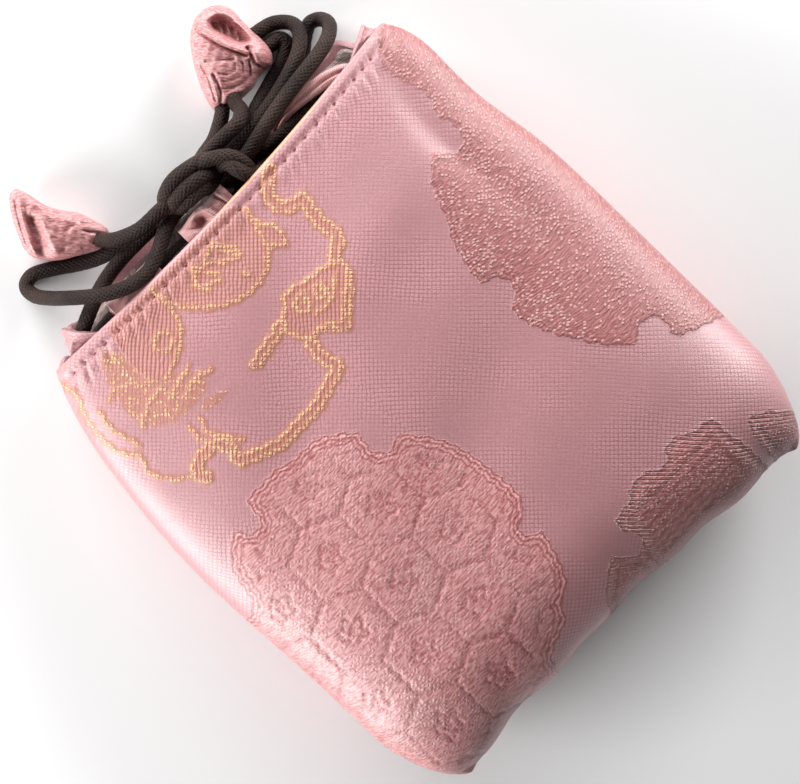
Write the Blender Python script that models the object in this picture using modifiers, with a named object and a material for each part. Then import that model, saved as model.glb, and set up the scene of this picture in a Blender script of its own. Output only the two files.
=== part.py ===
"""Padded silk brocade drawstring pouch, lying on its back with its cords tied in a bow.

Metres, +Z up. The origin is on the floor under the middle of the pouch. X runs across the mouth and
Y from the base seam to the mouth. Every layer of the wall is a loft between the same two faces at its
own depth, and the cords run through ribbon loops sewn inside the mouth.
"""
import math

import bmesh
import bpy
import numpy as np
from mathutils import Matrix, Vector

# Whole pouch
reach = 0.128                  # base corners to back rim, along Y
middle_half_width = 0.0572
mouth_half_width = 0.050
corner_length = 0.020          # along Y, over which the base corners round off
corner_inset = 0.0092          # how far they draw the base seam's ends in from the sides
base_hollow = 0.0017           # how far the middle of the base seam stands in from its corners
middle_thickness = 0.031
mouth_thickness = 0.019
base_rounding = 0.022          # along Y, over which the base swells from its seam to full thickness
resting_depth = 0.0005         # how deep the back is pressed flat by the floor
front_rim_dip = 0.0027         # front rim, middle below its ends
back_rim_rise = 0.0057         # back rim, middle above its ends
seam_height_share = 0.45       # height of the side seam as a share of the thickness
front_roundness_shares = (2.6, 2.2)   # superellipse power of the front face at base and mouth
back_roundness_share = 3.6
corner_roundness_share = 1.6
base_roundness_share = 2.2
narrowing_share = 8.0          # power with which the sides draw in to the mouth
thinning_share = 2.2           # power with which the pouch thins to the mouth

# Wall layers
brocade_thickness = 0.0008
wadding_thickness = 0.0033
hem_wadding_thickness = 0.0010
lining_thickness = 0.0005
layer_gap = 0.0003
seam_gap = 0.0003
hem_depth = 0.003              # the wadding stops this far below the rim
hem_flat = 0.018               # along Y below the rim, where the wadding stays thin
hem_taper = 0.012              # along Y, over which it then thickens to full

# Mesh fineness
column_count = 16
base_row_count = 6
body_row_count = 8

# Ribbon loops
ribbon_thickness = 0.0005
ribbon_width = 0.0135
loop_inner_height = 0.0040
loop_inner_length = 0.0078
loop_tab_length = 0.0055       # the sewn end that lies against the lining
loop_names = ("left", "middle", "right")
front_loop_place_shares = (-0.51, -0.08, 0.55)     # of the mouth's half-width, left to right
back_loop_place_shares = (-0.52, 0.0, 0.52)
front_loop_stand = 0.0046      # how far a front loop stands past the front rim
back_loop_setback = 0.0040     # how far a back loop ends inside the back rim
bend_step_count = 6

# Cord
cord_diameter = 0.0032
cord_point_spacing = 0.0036

# Bow knot
knot_centre = (-0.0020, 0.0642, 0.0098)
knot_core_radii = (0.0068, 0.0037, 0.0056)
knot_wrap_radii = (0.0030, 0.0038)      # of a wrap's path, across and up
knot_wrap_places = (-0.0042, -0.0006, 0.0036)
knot_wrap_leans = (38.0, 38.0, -22.0)   # degrees from straight across the cords
knot_wrap_diameter = 0.0034

# Petal ends: a folded bud of brocade, from the neck to the tip
left_petal_neck = (-0.0236, 0.0713)
left_petal_tip = (-0.0305, 0.0915)
right_petal_neck = (0.0158, 0.0722)
right_petal_tip = (0.0252, 0.0885)
petal_widths = {"left": 0.0140, "right": 0.0165}
petal_thicknesses = {"left": 0.0090, "right": 0.0100}
petal_rolls = {"left": 8.0, "right": -20.0}     # degrees about its own length
petal_floor_gap = 0.0001
petal_sinks = {"left": 0.0004, "right": 0.0006}     # what the rounding of its form takes off its underside
left_petal_width_shares = (0.42, 0.72, 0.98, 1.00, 0.78, 0.45, 0.18)
left_petal_offset_shares = (0.00, 0.06, 0.12, 0.10, 0.04, 0.00, 0.00)
right_petal_width_shares = (0.36, 0.82, 1.06, 1.08, 1.00, 0.88, 0.66)
right_petal_offset_shares = (0.02, -0.18, -0.22, -0.16, -0.08, -0.02, 0.00)
petal_thickness_shares = (0.50, 0.80, 1.00, 1.00, 0.92, 0.72, 0.40)
petal_section_count = 8
petal_hollow_radii = (0.0036, 0.0042, 0.0026)
petal_hollow_share = 0.93      # how far along the right petal the hollow's centre lies

# Routes of the cords, hand-chosen points
inner_run_route = [
    (0.0050, 0.0634, 0.0158), (0.0068, 0.0620, 0.0178), (0.0074, 0.0594, 0.0182), (0.0086, 0.0572, 0.0158),
    (0.0124, 0.0560, 0.0132), (0.0200, 0.0550, 0.0117), (0.0275, 0.0549, 0.0116), (0.0345, 0.0548, 0.0114),
    (0.0398, 0.0536, 0.0101), (0.0424, 0.0527, 0.0083), (0.0402, 0.0526, 0.0065), (0.0338, 0.0536, 0.0059),
    (0.0260, 0.0538, 0.0059), (0.0130, 0.0539, 0.0058), (0.0000, 0.0539, 0.0057), (-0.0130, 0.0539, 0.0058),
    (-0.0260, 0.0538, 0.0059), (-0.0335, 0.0536, 0.0059), (-0.0400, 0.0526, 0.0064), (-0.0424, 0.0526, 0.0081),
    (-0.0396, 0.0536, 0.0104), (-0.0340, 0.0547, 0.0117), (-0.0255, 0.0549, 0.0118), (-0.0185, 0.0551, 0.0120),
    (-0.0118, 0.0554, 0.0133), (-0.0040, 0.0555, 0.0135), (0.0024, 0.0556, 0.0135), (0.0054, 0.0567, 0.0122),
    (0.0058, 0.0584, 0.0107), (0.0044, 0.0600, 0.0101),
]
outer_run_route = [
    (0.0078, 0.0606, 0.0078), (0.0120, 0.0600, 0.0091), (0.0160, 0.0591, 0.0107), (0.0205, 0.0585, 0.0116),
    (0.0275, 0.0584, 0.0116), (0.0345, 0.0584, 0.0114), (0.0402, 0.0573, 0.0101), (0.0428, 0.0564, 0.0083),
    (0.0400, 0.0564, 0.0064), (0.0335, 0.0572, 0.0059), (0.0260, 0.0574, 0.0059), (0.0130, 0.0575, 0.0058),
    (0.0000, 0.0575, 0.0057), (-0.0130, 0.0575, 0.0058), (-0.0260, 0.0574, 0.0059), (-0.0335, 0.0573, 0.0059),
    (-0.0400, 0.0567, 0.0064), (-0.0428, 0.0572, 0.0083), (-0.0408, 0.0590, 0.0102), (-0.0365, 0.0610, 0.0108),
    (-0.0320, 0.0628, 0.0102), (-0.0270, 0.0641, 0.0090), (-0.0220, 0.0646, 0.0082), (-0.0160, 0.0646, 0.0083),
    (-0.0104, 0.0644, 0.0084),
]
bow_left_route = [
    (-0.0098, 0.0628, 0.0124), (-0.0128, 0.0617, 0.0140), (-0.0168, 0.0596, 0.0156), (-0.0210, 0.0582, 0.0168),
    (-0.0255, 0.0587, 0.0172), (-0.0295, 0.0605, 0.0168), (-0.0330, 0.0630, 0.0156), (-0.0365, 0.0662, 0.0126),
    (-0.0395, 0.0694, 0.0076), (-0.0416, 0.0725, 0.0034), (-0.0415, 0.0753, 0.0018), (-0.0388, 0.0760, 0.0018),
    (-0.0350, 0.0740, 0.0018), (-0.0310, 0.0712, 0.0020), (-0.0270, 0.0688, 0.0028), (-0.0225, 0.0672, 0.0042),
    (-0.0160, 0.0659, 0.0049), (-0.0102, 0.0652, 0.0049),
]
bow_right_long_route = [
    (0.0052, 0.0643, 0.0085), (0.0085, 0.0643, 0.0085), (0.0120, 0.0645, 0.0082), (0.0160, 0.0654, 0.0076), (0.0200, 0.0669, 0.0060),
    (0.0260, 0.0687, 0.0037), (0.0310, 0.0702, 0.0020), (0.0340, 0.0722, 0.0018), (0.0336, 0.0740, 0.0018),
    (0.0310, 0.0745, 0.0018), (0.0282, 0.0750, 0.0018), (0.0272, 0.0768, 0.0018), (0.0286, 0.0784, 0.0018),
    (0.0312, 0.0783, 0.0018), (0.0350, 0.0773, 0.0018), (0.0376, 0.0748, 0.0027), (0.0377, 0.0722, 0.0052),
    (0.0350, 0.0692, 0.0080), (0.0300, 0.0670, 0.0098), (0.0230, 0.0652, 0.0108), (0.0160, 0.0642, 0.0116),
    (0.0098, 0.0638, 0.0119), (0.0054, 0.0635, 0.0120),
]
bow_right_short_route = [
    (0.0050, 0.0603, 0.0140), (0.0085, 0.0607, 0.0137), (0.0125, 0.0611, 0.0147), (0.0190, 0.0624, 0.0158), (0.0270, 0.0638, 0.0152),
    (0.0350, 0.0648, 0.0134), (0.0400, 0.0660, 0.0100), (0.0430, 0.0682, 0.0058), (0.0428, 0.0706, 0.0026),
    (0.0404, 0.0717, 0.0018), (0.0372, 0.0700, 0.0018), (0.0330, 0.0668, 0.0025), (0.0270, 0.0652, 0.0044),
    (0.0200, 0.0632, 0.0049), (0.0140, 0.0627, 0.0049), (0.0092, 0.0627, 0.0049), (0.0048, 0.0626, 0.0049),
]
tail_left_route = [
    (-0.0234, 0.0709, 0.0055), (-0.0210, 0.0682, 0.0098), (-0.0160, 0.0659, 0.0134), (-0.0100, 0.0655, 0.0148),
]
tail_right_upper_route = [
    (0.0136, 0.0711, 0.0058), (0.0108, 0.0694, 0.0072), (0.0080, 0.0681, 0.0092), (0.0050, 0.0676, 0.0099),
]
tail_right_lower_route = [
    (0.0172, 0.0704, 0.0078), (0.0168, 0.0684, 0.0112), (0.0146, 0.0669, 0.0143), (0.0104, 0.0668, 0.0146),
    (0.0052, 0.0668, 0.0133),
]

# Colours and finish of each material: base colour, roughness, metallic
finishes = {
    "brocade": ((0.58, 0.29, 0.30), 0.42, 0.0),
    "wadding": ((0.80, 0.79, 0.76), 0.95, 0.0),
    "lining": ((0.30, 0.23, 0.22), 0.45, 0.0),
    "ribbon": ((0.66, 0.36, 0.37), 0.35, 0.0),
    "cord": ((0.035, 0.020, 0.018), 0.55, 0.0),
}

middle_y = reach / 2 - back_rim_rise    # where the rim meets the side seams
side_length = middle_y + reach / 2


def smooth(value):
    """Ease from 0 to 1 with level ends."""
    value = np.clip(value, 0.0, 1.0)
    return value * value * (3 - 2 * value)


def quarter_round(share, power):
    """Superellipse quarter: rises steeply from 0 and levels off at 1."""
    share = np.clip(share, 0.0, 1.0)
    return (1 - (1 - share) ** power) ** (1 / power)


def row_steps():
    """Places of a panel's rows: how far each lies up the base's rounding, and its share of the rest.

    The rows crowd where the base swells. The last but one lies on the hem line, and the last on the rim.
    """
    turn = np.linspace(0, math.pi / 2, base_row_count + 1)
    base_steps = base_rounding * (1 - np.cos(turn) ** (2 / base_roundness_share))
    hem_share = 1 - hem_depth / (side_length - base_rounding)
    body_steps = [*np.linspace(0, hem_share, body_row_count)[1:], 1.0]
    return [(step, 0.0) for step in base_steps] + [(base_rounding, step) for step in body_steps]


def wadding_depths():
    """Thickness of the wadding at each row: full in the body, thin below the rim."""
    below_rim = np.array([(side_length - base_rounding) * (1 - share) for _, share in row_steps()])
    full = smooth((below_rim - hem_flat) / hem_taper)
    return hem_wadding_thickness + (wadding_thickness - hem_wadding_thickness) * full


def panel_face(front, depths):
    """One panel's face as a grid of points, base seam first and rim last, at a depth below its outside.

    A row is half a superellipse across the pouch. Its half-width, thickness and seam height follow the
    row's place between base and mouth, and its depth is taken off its width, its height and its base end.
    """
    angles = np.linspace(-math.pi / 2, math.pi / 2, column_count + 1)
    rows = []
    for (base_step, body_step), depth in zip(row_steps(), depths):
        nominal = base_step + body_step * (side_length - base_rounding)
        along = nominal / side_length
        power = back_roundness_share
        if front:
            power = front_roundness_shares[0] + (front_roundness_shares[1] - front_roundness_shares[0]) * along
        across = np.sign(angles) * np.abs(np.sin(angles)) ** (2 / power)
        swell = np.abs(np.cos(angles)) ** (2 / power)
        side = middle_half_width - (middle_half_width - mouth_half_width) * along ** narrowing_share
        rounding = quarter_round(nominal / corner_length, corner_roundness_share)
        half_width = side - corner_inset * (1 - rounding)
        thickness = mouth_thickness + (middle_thickness - mouth_thickness) * (1 - along ** thinning_share)
        seam = seam_height_share * thickness
        swell = swell * quarter_round(nominal / base_rounding, base_roundness_share)
        base_line = -reach / 2 + base_hollow * (1 - np.abs(across) ** 3)
        rim = middle_y - front_rim_dip * (1 - across ** 2)
        if not front:
            rim = middle_y + back_rim_rise * (1 - across ** 6)
        y = base_line + base_step
        y = y + (rim - y) * body_step
        y = y + depth * (rim - y) / (rim - base_line)
        if front:
            z = seam + seam_gap + (thickness - seam - depth) * swell
        else:
            outside = np.maximum(seam - (seam + resting_depth) * swell, 0.0)
            z = outside + depth * (seam - outside) / seam
        rows.append(np.stack([(half_width - depth) * across, y, z], axis=-1))
    return np.array(rows)


def material(kind):
    """Principled material of one kind, made once."""
    if kind in bpy.data.materials:
        return bpy.data.materials[kind]
    made = bpy.data.materials.new(kind)
    made.use_nodes = True
    shader = made.node_tree.nodes["Principled BSDF"]
    colour, roughness, metallic = finishes[kind]
    shader.inputs["Base Color"].default_value = (*colour, 1.0)
    shader.inputs["Roughness"].default_value = roughness
    shader.inputs["Metallic"].default_value = metallic
    return made


def new_object(name, mesh, kind, collection):
    """Link a mesh as a named part with its material."""
    made = bpy.data.objects.new(name, mesh)
    made.data.materials.clear()
    made.data.materials.append(material(kind))
    collection.objects.link(made)
    return made


def loft_between(name, outer, inner, kind, collection):
    """Closed solid between two grids of points: both faces, and a wall round their edge."""
    rows, columns = outer.shape[:2]
    shape = bmesh.new()
    outside = [[shape.verts.new(point) for point in row] for row in outer]
    inside = [[shape.verts.new(point) for point in row] for row in inner]
    for grid in (outside, inside):
        for i in range(rows - 1):
            for j in range(columns - 1):
                shape.faces.new((grid[i][j], grid[i][j + 1], grid[i + 1][j + 1], grid[i + 1][j]))
    edge = [(0, j) for j in range(columns)] + [(i, columns - 1) for i in range(1, rows)]
    edge += [(rows - 1, j) for j in range(columns - 2, -1, -1)] + [(i, 0) for i in range(rows - 2, 0, -1)]
    for (i, j), (k, m) in zip(edge, edge[1:] + edge[:1]):
        shape.faces.new((outside[i][j], outside[k][m], inside[k][m], inside[i][j]))
    bmesh.ops.recalc_face_normals(shape, faces=shape.faces)
    mesh = bpy.data.meshes.new(name)
    shape.to_mesh(mesh)
    shape.free()
    mesh.shade_smooth()
    mesh.set_sharp_from_angle(angle=math.radians(50))
    return new_object(name, mesh, kind, collection)


def wall_layers(side, front, collection):
    """The brocade, wadding and lining of one panel. Returns the lining's inner face."""
    none = np.zeros(len(row_steps()))
    brocade = none + brocade_thickness
    wadding_top = brocade + layer_gap
    wadding_bottom = wadding_top + wadding_depths()
    lining_top = wadding_bottom + layer_gap
    lining_bottom = lining_top + lining_thickness
    loft_between(f"outer_{side}_panel", panel_face(front, none), panel_face(front, brocade), "brocade", collection)
    loft_between(f"{side}_wadding", panel_face(front, wadding_top)[:-1], panel_face(front, wadding_bottom)[:-1],
                 "wadding", collection)
    inner = panel_face(front, lining_bottom)
    loft_between(f"{side}_lining", panel_face(front, lining_top), inner, "lining", collection)
    return inner


def lining_height(inner, low_x, high_x, front):
    """Height of the lining's inner face near the rim over a stretch of X: lowest in front, highest behind."""
    xs = np.linspace(low_x, high_x, bend_step_count)
    heights = [np.interp(xs, row[:, 0], row[:, 2]) for row in inner[-2:]]
    return np.min(heights) if front else np.max(heights)


def ribbon_loop(name, centre_x, tip_y, face_z, front, collection):
    """A ribbon folded into a tunnel across the mouth, with a tab sewn against the lining.

    The ribbon's middle line is a racetrack in the YZ plane. It hangs from the front lining, or stands on
    the back one, and its free end stops just short of the tab.
    """
    turn = 1.0 if front else -1.0
    radius = (loop_inner_height + ribbon_thickness) / 2
    top = face_z - turn * (layer_gap + ribbon_thickness / 2)
    bottom = top - turn * 2 * radius
    near = tip_y - ribbon_thickness / 2 - radius
    far = near - (loop_inner_length - loop_inner_height)
    bend = np.linspace(0, math.pi, bend_step_count + 1)
    line = [(far - radius - loop_tab_length, top), (far - radius / 2, top)]
    line += [(near + radius * math.sin(t), top - turn * radius * (1 - math.cos(t))) for t in bend]
    back_turn = bend[:-2]
    line += [(far - radius * math.sin(t), bottom + turn * radius * (1 - math.cos(t))) for t in back_turn]
    mesh = bpy.data.meshes.new(name)
    half = ribbon_width / 2
    points = [(centre_x + x, y, z) for y, z in line for x in (-half, half)]
    faces = [(2 * i, 2 * i + 1, 2 * i + 3, 2 * i + 2) for i in range(len(line) - 1)]
    mesh.from_pydata(points, [], faces)
    made = new_object(name, mesh, "ribbon", collection)
    wall = made.modifiers.new("ribbon thickness", "SOLIDIFY")
    wall.thickness = ribbon_thickness
    wall.offset = 0.0
    wall.use_even_offset = True
    return made


def smooth_route(route, spacing):
    """Points at an even spacing along a smooth curve through a route's own points."""
    knots = np.array(route)
    padded = np.vstack([2 * knots[0] - knots[1], knots, 2 * knots[-1] - knots[-2]])
    fine = []
    for before, start, end, after in zip(padded, padded[1:], padded[2:], padded[3:]):
        t = np.linspace(0, 1, 24, endpoint=False)[:, None]
        fine.append(0.5 * (2 * start + (end - before) * t + (2 * before - 5 * start + 4 * end - after) * t ** 2
                           + (3 * start - before - 3 * end + after) * t ** 3))
    fine = np.vstack(fine + [knots[-1:]])
    travelled = np.concatenate([[0], np.cumsum(np.linalg.norm(np.diff(fine, axis=0), axis=1))])
    count = max(3, int(round(travelled[-1] / spacing)) + 1)
    places = np.linspace(0, travelled[-1], count)
    return np.stack([np.interp(places, travelled, fine[:, axis]) for axis in range(3)], axis=-1)


def cord(name, route, collection):
    """A round cord along a route, closed at both ends."""
    points = smooth_route(route, cord_point_spacing)
    curve = bpy.data.curves.new(name, "CURVE")
    curve.dimensions = "3D"
    curve.bevel_depth = cord_diameter / 2
    curve.bevel_resolution = 2
    curve.use_fill_caps = True
    spline = curve.splines.new("POLY")
    spline.points.add(len(points) - 1)
    spline.points.foreach_set("co", np.column_stack([points, np.ones(len(points))]).ravel())
    made = bpy.data.objects.new(name, curve)
    curve.materials.append(material("cord"))
    collection.objects.link(made)
    length = np.linalg.norm(np.diff(points, axis=0), axis=1).sum()
    print(f"{name}: {length * 1000:.0f} mm of cord")
    return made


def ellipse_wrap(name, place, lean, cutters):
    """One turn of cord round the knot: a tube along an ellipse, turned to its lean."""
    curve = bpy.data.curves.new(name, "CURVE")
    curve.dimensions = "3D"
    curve.bevel_depth = knot_wrap_diameter / 2
    curve.bevel_resolution = 2
    steps = np.linspace(0, 2 * math.pi, 16, endpoint=False)
    across, up = knot_wrap_radii
    spline = curve.splines.new("POLY")
    spline.points.add(len(steps) - 1)
    ring = np.stack([0 * steps, across * np.cos(steps), up * np.sin(steps), 1 + 0 * steps], axis=-1)
    spline.points.foreach_set("co", ring.ravel())
    spline.use_cyclic_u = True
    made = bpy.data.objects.new(name, curve)
    made.matrix_world = (Matrix.Translation(Vector(knot_centre) + Vector((place, 0, 0)))
                         @ Matrix.Rotation(math.radians(lean), 4, "Z"))
    cutters.objects.link(made)
    return made


def bow_knot(collection, cutters):
    """The knot: cord ends bundled in a core, with three turns of cord round it."""
    shape = bmesh.new()
    bmesh.ops.create_uvsphere(shape, u_segments=16, v_segments=10, radius=1.0)
    placed = Matrix.Translation(knot_centre) @ Matrix.Rotation(math.pi / 2, 4, "Y")
    size = Matrix.Diagonal((knot_core_radii[2], knot_core_radii[1], knot_core_radii[0], 1))
    bmesh.ops.transform(shape, matrix=placed @ size, verts=shape.verts)
    mesh = bpy.data.meshes.new("bow_knot")
    shape.to_mesh(mesh)
    shape.free()
    mesh.shade_smooth()
    knot = new_object("bow_knot", mesh, "cord", collection)
    for number, (place, lean) in enumerate(zip(knot_wrap_places, knot_wrap_leans)):
        wrap = ellipse_wrap(f"knot_wrap_{number}", place, lean, cutters)
        bpy.context.view_layer.update()
        turned = bpy.data.meshes.new_from_object(wrap.evaluated_get(bpy.context.evaluated_depsgraph_get()))
        solid = bpy.data.objects.new(wrap.name + "_solid", turned)
        solid.matrix_world = wrap.matrix_world
        bpy.data.objects.remove(wrap)
        cutters.objects.link(solid)
        solid.hide_render = True
        solid.display_type = "WIRE"
        joined = knot.modifiers.new(solid.name, "BOOLEAN")
        joined.operation = "UNION"
        joined.object = solid
    return knot


def petal(side, neck, tip, width_shares, offset_shares, collection):
    """A folded bud: a loft of flattened rings from the neck to the tip, rounded by subdivision."""
    start, end = Vector((*neck, 0)), Vector((*tip, 0))
    along = (end - start).normalized()
    across = Vector((along.y, -along.x, 0))
    width, thickness = petal_widths[side], petal_thicknesses[side]
    roll = math.radians(petal_rolls[side])
    shape = bmesh.new()
    rings = []
    last = len(width_shares) - 1
    for index, (wide, offset, thick) in enumerate(zip(width_shares, offset_shares, petal_thickness_shares)):
        centre = start.lerp(end, index / last) + across * offset * width
        ring = []
        for step in range(petal_section_count):
            angle = 2 * math.pi * step / petal_section_count
            side_way = math.cos(angle) * wide * width / 2
            up = math.sin(angle) * thick * thickness / 2
            point = centre + across * (side_way * math.cos(roll) - up * math.sin(roll))
            point.z = side_way * math.sin(roll) + up * math.cos(roll)
            ring.append(shape.verts.new(point))
        rings.append(ring)
    for low, high in zip(rings, rings[1:]):
        for step in range(petal_section_count):
            after = (step + 1) % petal_section_count
            shape.faces.new((low[step], low[after], high[after], high[step]))
    shape.faces.new(rings[0])
    shape.faces.new(rings[-1])
    bmesh.ops.recalc_face_normals(shape, faces=shape.faces)
    lowest = min(vertex.co.z for vertex in shape.verts)
    bmesh.ops.translate(shape, verts=shape.verts, vec=(0, 0, petal_floor_gap - petal_sinks[side] - lowest))
    mesh = bpy.data.meshes.new(f"petal_{side}")
    shape.to_mesh(mesh)
    shape.free()
    mesh.shade_smooth()
    made = new_object(f"petal_{side}", mesh, "brocade", collection)
    rounded = made.modifiers.new("soft form", "SUBSURF")
    rounded.levels = 1
    rounded.render_levels = 1
    return made


def hollow_petal(made, cutters):
    """Open the right bud at its tip, where its cloth curls round a hollow."""
    centre = Vector((*right_petal_neck, 0)).lerp(Vector((*right_petal_tip, 0)), petal_hollow_share)
    centre.z = petal_thicknesses["right"]
    shape = bmesh.new()
    bmesh.ops.create_uvsphere(shape, u_segments=12, v_segments=8, radius=1.0)
    size = Matrix.Diagonal((*petal_hollow_radii, 1))
    bmesh.ops.transform(shape, matrix=Matrix.Translation(centre) @ size, verts=shape.verts)
    mesh = bpy.data.meshes.new("petal_hollow")
    shape.to_mesh(mesh)
    shape.free()
    cutter = bpy.data.objects.new("petal_hollow", mesh)
    cutters.objects.link(cutter)
    cutter.hide_render = True
    cutter.display_type = "WIRE"
    cut = made.modifiers.new("hollow", "BOOLEAN")
    cut.operation = "DIFFERENCE"
    cut.object = cutter


def build():
    """Model the pouch in a collection of its own, and what only cuts or joins in another."""
    for old in list(bpy.data.objects):
        bpy.data.objects.remove(old)
    pouch = bpy.data.collections.new("tea_set_pouch")
    cutters = bpy.data.collections.new("cutters")
    bpy.context.scene.collection.children.link(pouch)
    bpy.context.scene.collection.children.link(cutters)

    front_inner = wall_layers("front", True, pouch)
    back_inner = wall_layers("back", False, pouch)

    half = ribbon_width / 2
    for place, share in zip(loop_names, front_loop_place_shares):
        x = share * mouth_half_width
        rim = middle_y - front_rim_dip * (1 - share ** 2)
        height = lining_height(front_inner, x - half, x + half, True)
        ribbon_loop(f"front_loop_{place}", x, rim + front_loop_stand, height, True, pouch)
    for place, share in zip(loop_names, back_loop_place_shares):
        x = share * mouth_half_width
        height = lining_height(back_inner, x - half, x + half, False)
        tip = middle_y + back_rim_rise * (1 - share ** 6) - back_loop_setback
        ribbon_loop(f"back_loop_{place}", x, tip, height, False, pouch)

    cord("drawstring_inner_run", inner_run_route, pouch)
    cord("drawstring_outer_run", outer_run_route, pouch)
    cord("bow_loop_left", bow_left_route, pouch)
    cord("bow_loop_right_long", bow_right_long_route, pouch)
    cord("bow_loop_right_short", bow_right_short_route, pouch)
    cord("tail_left", tail_left_route, pouch)
    cord("tail_right_upper", tail_right_upper_route, pouch)
    cord("tail_right_lower", tail_right_lower_route, pouch)
    bow_knot(pouch, cutters)

    petal("left", left_petal_neck, left_petal_tip, left_petal_width_shares, left_petal_offset_shares, pouch)
    right = petal("right", right_petal_neck, right_petal_tip, right_petal_width_shares,
                  right_petal_offset_shares, pouch)
    hollow_petal(right, cutters)


build()
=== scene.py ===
"""A padded drawstring pouch of pink silk brocade, lying on its back with its cords tied in a bow.

Metres, +Z up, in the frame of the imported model. X runs across the mouth and Y from the base seam to the
mouth. The sections make the real pieces in the order in which the pouch is put together.
"""
import math

import bpy
import numpy as np
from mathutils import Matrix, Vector


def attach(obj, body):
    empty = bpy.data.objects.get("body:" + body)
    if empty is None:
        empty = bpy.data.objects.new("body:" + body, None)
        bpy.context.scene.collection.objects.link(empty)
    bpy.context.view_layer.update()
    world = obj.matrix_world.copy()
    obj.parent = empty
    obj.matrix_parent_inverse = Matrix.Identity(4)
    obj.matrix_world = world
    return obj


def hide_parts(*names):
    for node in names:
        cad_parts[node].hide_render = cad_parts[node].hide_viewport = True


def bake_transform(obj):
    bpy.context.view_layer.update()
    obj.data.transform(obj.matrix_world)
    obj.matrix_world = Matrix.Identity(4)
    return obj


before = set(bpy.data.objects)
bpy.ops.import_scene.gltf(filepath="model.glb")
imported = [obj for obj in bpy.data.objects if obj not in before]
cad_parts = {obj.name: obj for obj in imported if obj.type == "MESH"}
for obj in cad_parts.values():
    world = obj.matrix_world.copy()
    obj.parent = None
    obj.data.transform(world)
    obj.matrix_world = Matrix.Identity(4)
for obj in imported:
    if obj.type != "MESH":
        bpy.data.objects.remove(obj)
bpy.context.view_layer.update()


# Front cloth
# Silk brocade, cut wide enough to swell over its wadding. Its edge is turned over the wadding at the mouth
# and sewn down, and it is joined to the back cloth along the sides and the base.
pouch_length = 0.128           # metres, from the base corners to the back rim
middle_half_width = 0.0572
mouth_half_width = 0.050
corner_length = 0.020          # the base corners are rounded over this length, and drawn in by this much
corner_inset = 0.0092
base_hollow = 0.0017           # the base curves in at its middle
middle_thickness = 0.031       # of the whole pouch
mouth_thickness = 0.019
base_rounding = 0.022
seam_height = 0.45             # of the thickness
seam_gap = 0.0003
resting_depth = 0.0005         # the back settles on the floor by this much
front_rim_dip = 0.0027
back_rim_rise = 0.0057
middle_y = pouch_length / 2 - back_rim_rise
side_length = middle_y + pouch_length / 2
cloth_thickness = 0.0008
hem_turn = 0.0008              # radius of the fold at the rim
facing_depth = 0.0075          # how far the turned edge reaches down inside, in front and behind
back_facing_depth = 0.0020
stitch_pitch = 3.3             # millimetres, along the hem
stitch_line = 2.1              # millimetres, below the rim
soft_hills = (                 # place, sizes, turn of its length, height: millimetres and degrees
    (-14, 20, 9, 30, -42, -1.0), (8, -12, 40, 10, 25, -0.9), (20, 30, 26, 8, 12, 0.8),
    (43, 38, 3.5, 26, 0, -1.0), (-34, -24, 16, 14, 0, 0.6), (30, -44, 18, 7, 0, -0.7),
    (-6, 50, 24, 6, 4, -0.5), (-44, 34, 8, 20, -10, -0.7),
)


def smooth(value):
    """Ease from 0 to 1 with level ends: three times the square less twice the cube."""
    value = np.clip(value, 0.0, 1.0)
    return value * value * (3 - 2 * value)


def quarter_round(share, power):
    """A quarter of a superellipse: rises steeply from 0 and levels off at 1."""
    share = np.clip(share, 0.0, 1.0)
    return (1 - (1 - share) ** power) ** (1 / power)


def travelled(points, axis=0):
    """Length gone from the first point on, along a line or along the rows or columns of a grid."""
    first = np.take(points, [0], axis=axis)
    return np.cumsum(np.linalg.norm(np.diff(points, axis=axis, prepend=first), axis=-1), axis=axis)


def body_rows(spacing):
    """Places of a panel's rows from the base seam to the rim.

    The first rows climb the rounded base, as a superellipse quarter turns, and the others run evenly up the
    body. Each row has two numbers: how far it is up the base's rounding, and its share of the rest.
    """
    climb = int(round(0.030 / spacing))
    turn = np.linspace(0, math.pi / 2, climb + 1)
    base_steps = base_rounding * (1 - np.cos(turn) ** (2 / 2.2))
    body = int(round((side_length - base_rounding) / spacing))
    steps = np.concatenate([base_steps, np.full(body, base_rounding)])
    shares = np.concatenate([np.zeros(climb + 1), np.linspace(0, 1, body + 1)[1:]])
    return steps, shares


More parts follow.
